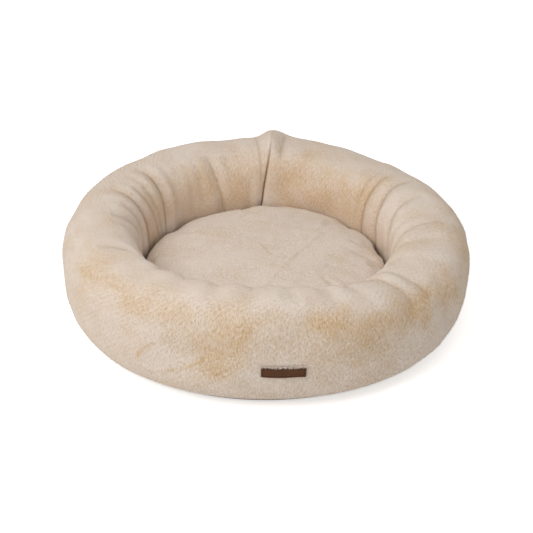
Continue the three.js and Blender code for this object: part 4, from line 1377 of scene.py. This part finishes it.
def disc(name, edge, low, high, round_by, sag, material):
    """A round layer: a flat top with shallow puckers, an edge rounded by a length, and a flat
    underside. The edge is a radius for each bearing."""
    share = np.linspace(0, 1, DISC_ROWS)[:, None]
    bend = np.radians(np.linspace(0, 180, 9)[1:-1])[:, None]
    inner = edge[None] - round_by
    half = (high - low) / 2
    radius = np.concatenate([inner * share, inner + round_by * np.sin(bend), inner * share[::-1]])
    height = np.concatenate(
        [high + 0 * share, (high + low) / 2 + half * np.cos(bend), low + 0 * share]
    )
    rows = place(*np.broadcast_arrays(DISC_BEARINGS[None], radius, height))
    top = rows[:DISC_ROWS]
    top[..., 2] -= np.abs(drift(top, 38, 71)) * sag * np.clip((1 - share) * 12, 0, 1)
    return make_round(name, rows, material, "bed")


def floor_edge(top):
    """The radius where the nest's floor meets the ring's wall: on the straight line from its
    foot to the wall higher up, less a gap."""
    middle, half_width, _ = ring_frame(DISC_BEARINGS)
    foot = middle - half_width * FOOT_SHARE
    wall = ring_surface(DISC_BEARINGS, np.full(DISC_COLUMNS, FLOOR_TURN))
    share = (top - SEAT_HEIGHT) / (wall[:, 2] - SEAT_HEIGHT)
    return foot + (np.hypot(wall[:, 0], wall[:, 1]) - foot) * share - FLOOR_GAP


base_edge = ring_frame(DISC_BEARINGS)[0] + ring_frame(DISC_BEARINGS)[1] * FOOT_SHARE
nest_edge = floor_edge(FLOOR_TOP)
base_cloth = disc("base_cloth", base_edge, 0.9, 2.4, 0.75, 0, BASE_CLOTH)
wadding = disc("nest_wadding", nest_edge, 2.7, 9.7, 3.0, 0.8, FIBRE)
lining = disc("nest_lining", nest_edge, 10.0, FLOOR_TOP, 1.2, 0.7, LINING_CLOTH)
for piece, node, slot in (
    (base_cloth, "base_panel", "base_fabric"),
    (wadding, "floor_wadding", "fibre_fill"),
    (lining, "floor_lining", "lining_fabric"),
):
    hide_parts(node)

# %% Rubber dots
DOT_SPACING, DOT_MARGIN = 12.0, 6
# The height of an even triangle as a share of its side.
ROW_STEP = 0.866
# The radius and height of each ring of a dome, from its underside to its pole.
DOT_PROFILE = ((0, 1.2), (2.0, 1.2), (2.0, 0.7), (1.3, 0.15), (0, 0.0))


def make_rubber():
    """Printed rubber: matt, dark and very slightly mottled."""
    material, tree, shader, here = start_finish("printed_rubber_dots")
    rubber, _ = mottled(tree, here, 5, 2, ("#463f38", "#5a5249"))
    set_inputs(tree, shader, {"Base Color": rubber, "Roughness": 0.6})
    return material


def rubber_dots():
    """A dome of two rings, its pole down, at each point of a grid of triangles in the base."""
    step = np.arange(-24, 25)
    i, j = np.meshgrid(step, step, indexing="ij")
    x, y = (i + 0.5 * (j % 2)).ravel() * DOT_SPACING, j.ravel() * DOT_SPACING * ROW_STEP
    reach = np.interp(np.mod(np.degrees(np.arctan2(x, -y)), 360), DISC_BEARINGS, base_edge)
    inside = np.hypot(x, y) < reach - DOT_MARGIN
    centres = np.stack([x[inside], y[inside], 0 * x[inside]], -1)
    bearings = np.arange(8) * 45.0
    rows = [place(bearings, np.full(8, r), np.full(8, z)) for r, z in DOT_PROFILE]
    one = np.concatenate([rows[0][:1], *rows[1:-1], rows[-1][:1]])
    faces, maps = round_faces(len(rows), 8)
    points = (centres[:, None] + one).reshape(-1, 3)
    first = np.arange(len(centres))[:, None, None] * len(one)
    many = [(first + face).reshape(-1, face.shape[1]) for face in faces]
    corner = (centres[:, :2] + 300) / 600
    spread_maps = [
        (corner[:, None, None] + 0.006 * part[None]).reshape(-1, part.shape[1], 2) for part in maps
    ]
    print(f"rubber dots: {len(centres)}")
    return make_piece("rubber_dots", points, many, make_rubber(), "bed", spread_maps)


dots = rubber_dots()

# %% [markdown]
# ## The zip
#
# A coarse moulded zip is sewn in behind the furrow. Its tapes are flat woven ribbons, so each
# is one closed section carried along the seam's curve. The teeth, the stops, the slider and
# its pull have the right shape in the measured solids, so they stay and only get finishes:
# satin acetal for the teeth, and painted die-cast zinc for the rest.

# %% The zip's tapes
TAPE_REACH, TAPE_DEPTH, TAPE_HALF = (1.9, 10.0), 5.0, 0.4
TAPE_ROWS, TAPE_SQUARENESS = 260, 0.3
TAPE_CLOTH = make_cloth("woven_zip_tape", "#cdbda9", "#a8977f", (34, 620), 0.85)


def zip_tape(name, side):
    """A ribbon's section, an oval with square shoulders, at each bearing along the zip. Side
    is 1 above the zip and -1 below."""
    bearing = np.linspace(ZIP_BEARINGS[0] - 1, ZIP_BEARINGS[1] + 1, TAPE_ROWS)[:, None]
    angle = np.radians(np.arange(20) * 18.0)[None]
    square = [
        np.sign(part) * np.abs(part) ** TAPE_SQUARENESS for part in (np.cos(angle), np.sin(angle))
    ]
    middle, half = sum(TAPE_REACH) / 2, (TAPE_REACH[1] - TAPE_REACH[0]) / 2
    at = SEAM_PLACE - side * (middle + half * square[0]) / MM_PER_DEGREE
    depth = TAPE_DEPTH - side * TAPE_HALF * square[1]
    rows = cushion_surface(*np.broadcast_arrays(bearing, at, depth))
    return make_round(name, rows, TAPE_CLOTH, "cushion")


for word, side in (("upper", 1), ("lower", -1)):
    tape = zip_tape(f"zip_ribbon_{word}", side)
    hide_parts(f"zip_tape_{word}")

# %% The zip's hard parts


def make_hard(name, colours, metallic, rough, grain):
    """A moulded or cast part: two close colours in soft clouds, roughness that changes a
    little with them, and a fine bump with a grain in mm."""
    material, tree, shader, here = start_finish(name)
    mixed, clouds = mottled(tree, here, 6, 3, colours)
    uneven = {"Value": clouds, "To Min": rough - 0.08, "To Max": rough + 0.08}
    skin = add(tree, "ShaderNodeTexNoise", {"Vector": here, "Scale": pitch(grain), "Detail": 2})
    raised = {"Strength": 0.15, "Distance": 0.0001, "Height": skin.outputs["Fac"]}
    surface = {
        "Base Color": mixed,
        "Roughness": add(tree, "ShaderNodeMapRange", uneven).outputs[0],
        "Normal": add(tree, "ShaderNodeBump", raised).outputs[0],
        "Metallic": metallic,
    }
    set_inputs(tree, shader, surface)
    return material


ACETAL = make_hard("moulded_acetal_teeth", ("#c3b29d", "#b8a68f"), 0.0, 0.4, 0.8)
ZINC = make_hard("painted_die_cast_zinc", ("#b7afa3", "#a9a195"), 0.9, 0.35, 0.5)
for node in ("teeth_upper", "teeth_lower", "top_stop", "bottom_stop", "slider_body", "pull_tab"):
    finish = ACETAL if node.startswith("teeth") else ZINC
    for kept_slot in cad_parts[f"zip_{node}"].material_slots:
        kept_slot.material = finish
    print(f"zip_{node} has {finish.name}")

# %% [markdown]
# ## The stage
#
# The photograph is on white with no shadow to speak of. More light would wash out the plush,
# so the floor is a pale grey white that glows a little for the camera and for mirror-like and
# clear surfaces only, and it keeps the bed's soft shadow. One large lamp at the left stands
# for the photographer's, and a weak one above and a white sky fill the rest. A picture of a
# studio could light it, but two lamps and an even sky do the same and have nothing to load.

# %% Stage
SKY_LEVEL, FLOOR_GLOW = 0.48, 0.56


def seen_straight(tree):
    """1 for rays from the camera, off a mirror-like surface or through a clear one, else 0."""
    rays = add(tree, "ShaderNodeLightPath").outputs
    first = {0: rays["Is Camera Ray"], 1: rays["Is Glossy Ray"]}
    seen = add(tree, "ShaderNodeMath", first, operation="MAXIMUM").outputs[0]
    both = {0: seen, 1: rays["Is Transmission Ray"]}
    return add(tree, "ShaderNodeMath", both, operation="MAXIMUM").outputs[0]


def make_floor():
    """A flat white floor whose glow is seen straight, or in a mirror or through glass."""
    mesh = bpy.data.meshes.new("floor")
    corners = np.array([(-1, -1, 0), (1, -1, 0), (1, 1, 0), (-1, 1, 0)]) * 30
    mesh.from_pydata(corners.tolist(), [], [(0, 1, 2, 3)])
    floor = bpy.data.objects.new("floor", mesh)
    bpy.context.scene.collection.objects.link(floor)
    material, tree, shader, _ = start_finish("matt_white_studio_floor")
    lit = {0: seen_straight(tree), 1: FLOOR_GLOW}
    surface = {
        "Base Color": linear("#f4f3f1"),
        "Roughness": 0.9,
        "Emission Strength": add(tree, "ShaderNodeMath", lit, operation="MULTIPLY").outputs[0],
        "Emission Color": (1, 1, 1, 1),
    }
    set_inputs(tree, shader, surface)
    mesh.materials.append(material)


def make_lamp(name, at, size, power):
    """A round soft lamp at a place in metres, aimed at the middle of the bed."""
    data = bpy.data.lights.new(name, "AREA")
    data.shape, data.size, data.energy = "DISK", size, power
    lamp = bpy.data.objects.new(name, data)
    lamp.location = at
    aim = Vector((0, 0, 0.05)) - Vector(at)
    lamp.rotation_euler = aim.to_track_quat("-Z", "Y").to_euler()
    bpy.context.scene.collection.objects.link(lamp)


make_floor()
make_lamp("key", (-1.45, -1.25, 2.05), 1.8, 35)
make_lamp("top", (0.2, -0.6, 2.4), 1.8, 10)


def make_sky():
    """An even white sky: full white to the camera, to mirrors and through glass, and weaker as
    a light."""
    sky = bpy.data.worlds.new("white_sky")
    sky.use_nodes = True
    tree = sky.node_tree
    level = {"Value": seen_straight(tree), "To Min": SKY_LEVEL, "To Max": 1.0}
    level = add(tree, "ShaderNodeMapRange", level).outputs[0]
    set_inputs(tree, tree.nodes["Background"], {"Color": (1, 1, 1, 1), "Strength": level})
    bpy.context.scene.world = sky


make_sky()
bpy.context.scene.view_settings.view_transform = "Standard"
print("sky level:", SKY_LEVEL)
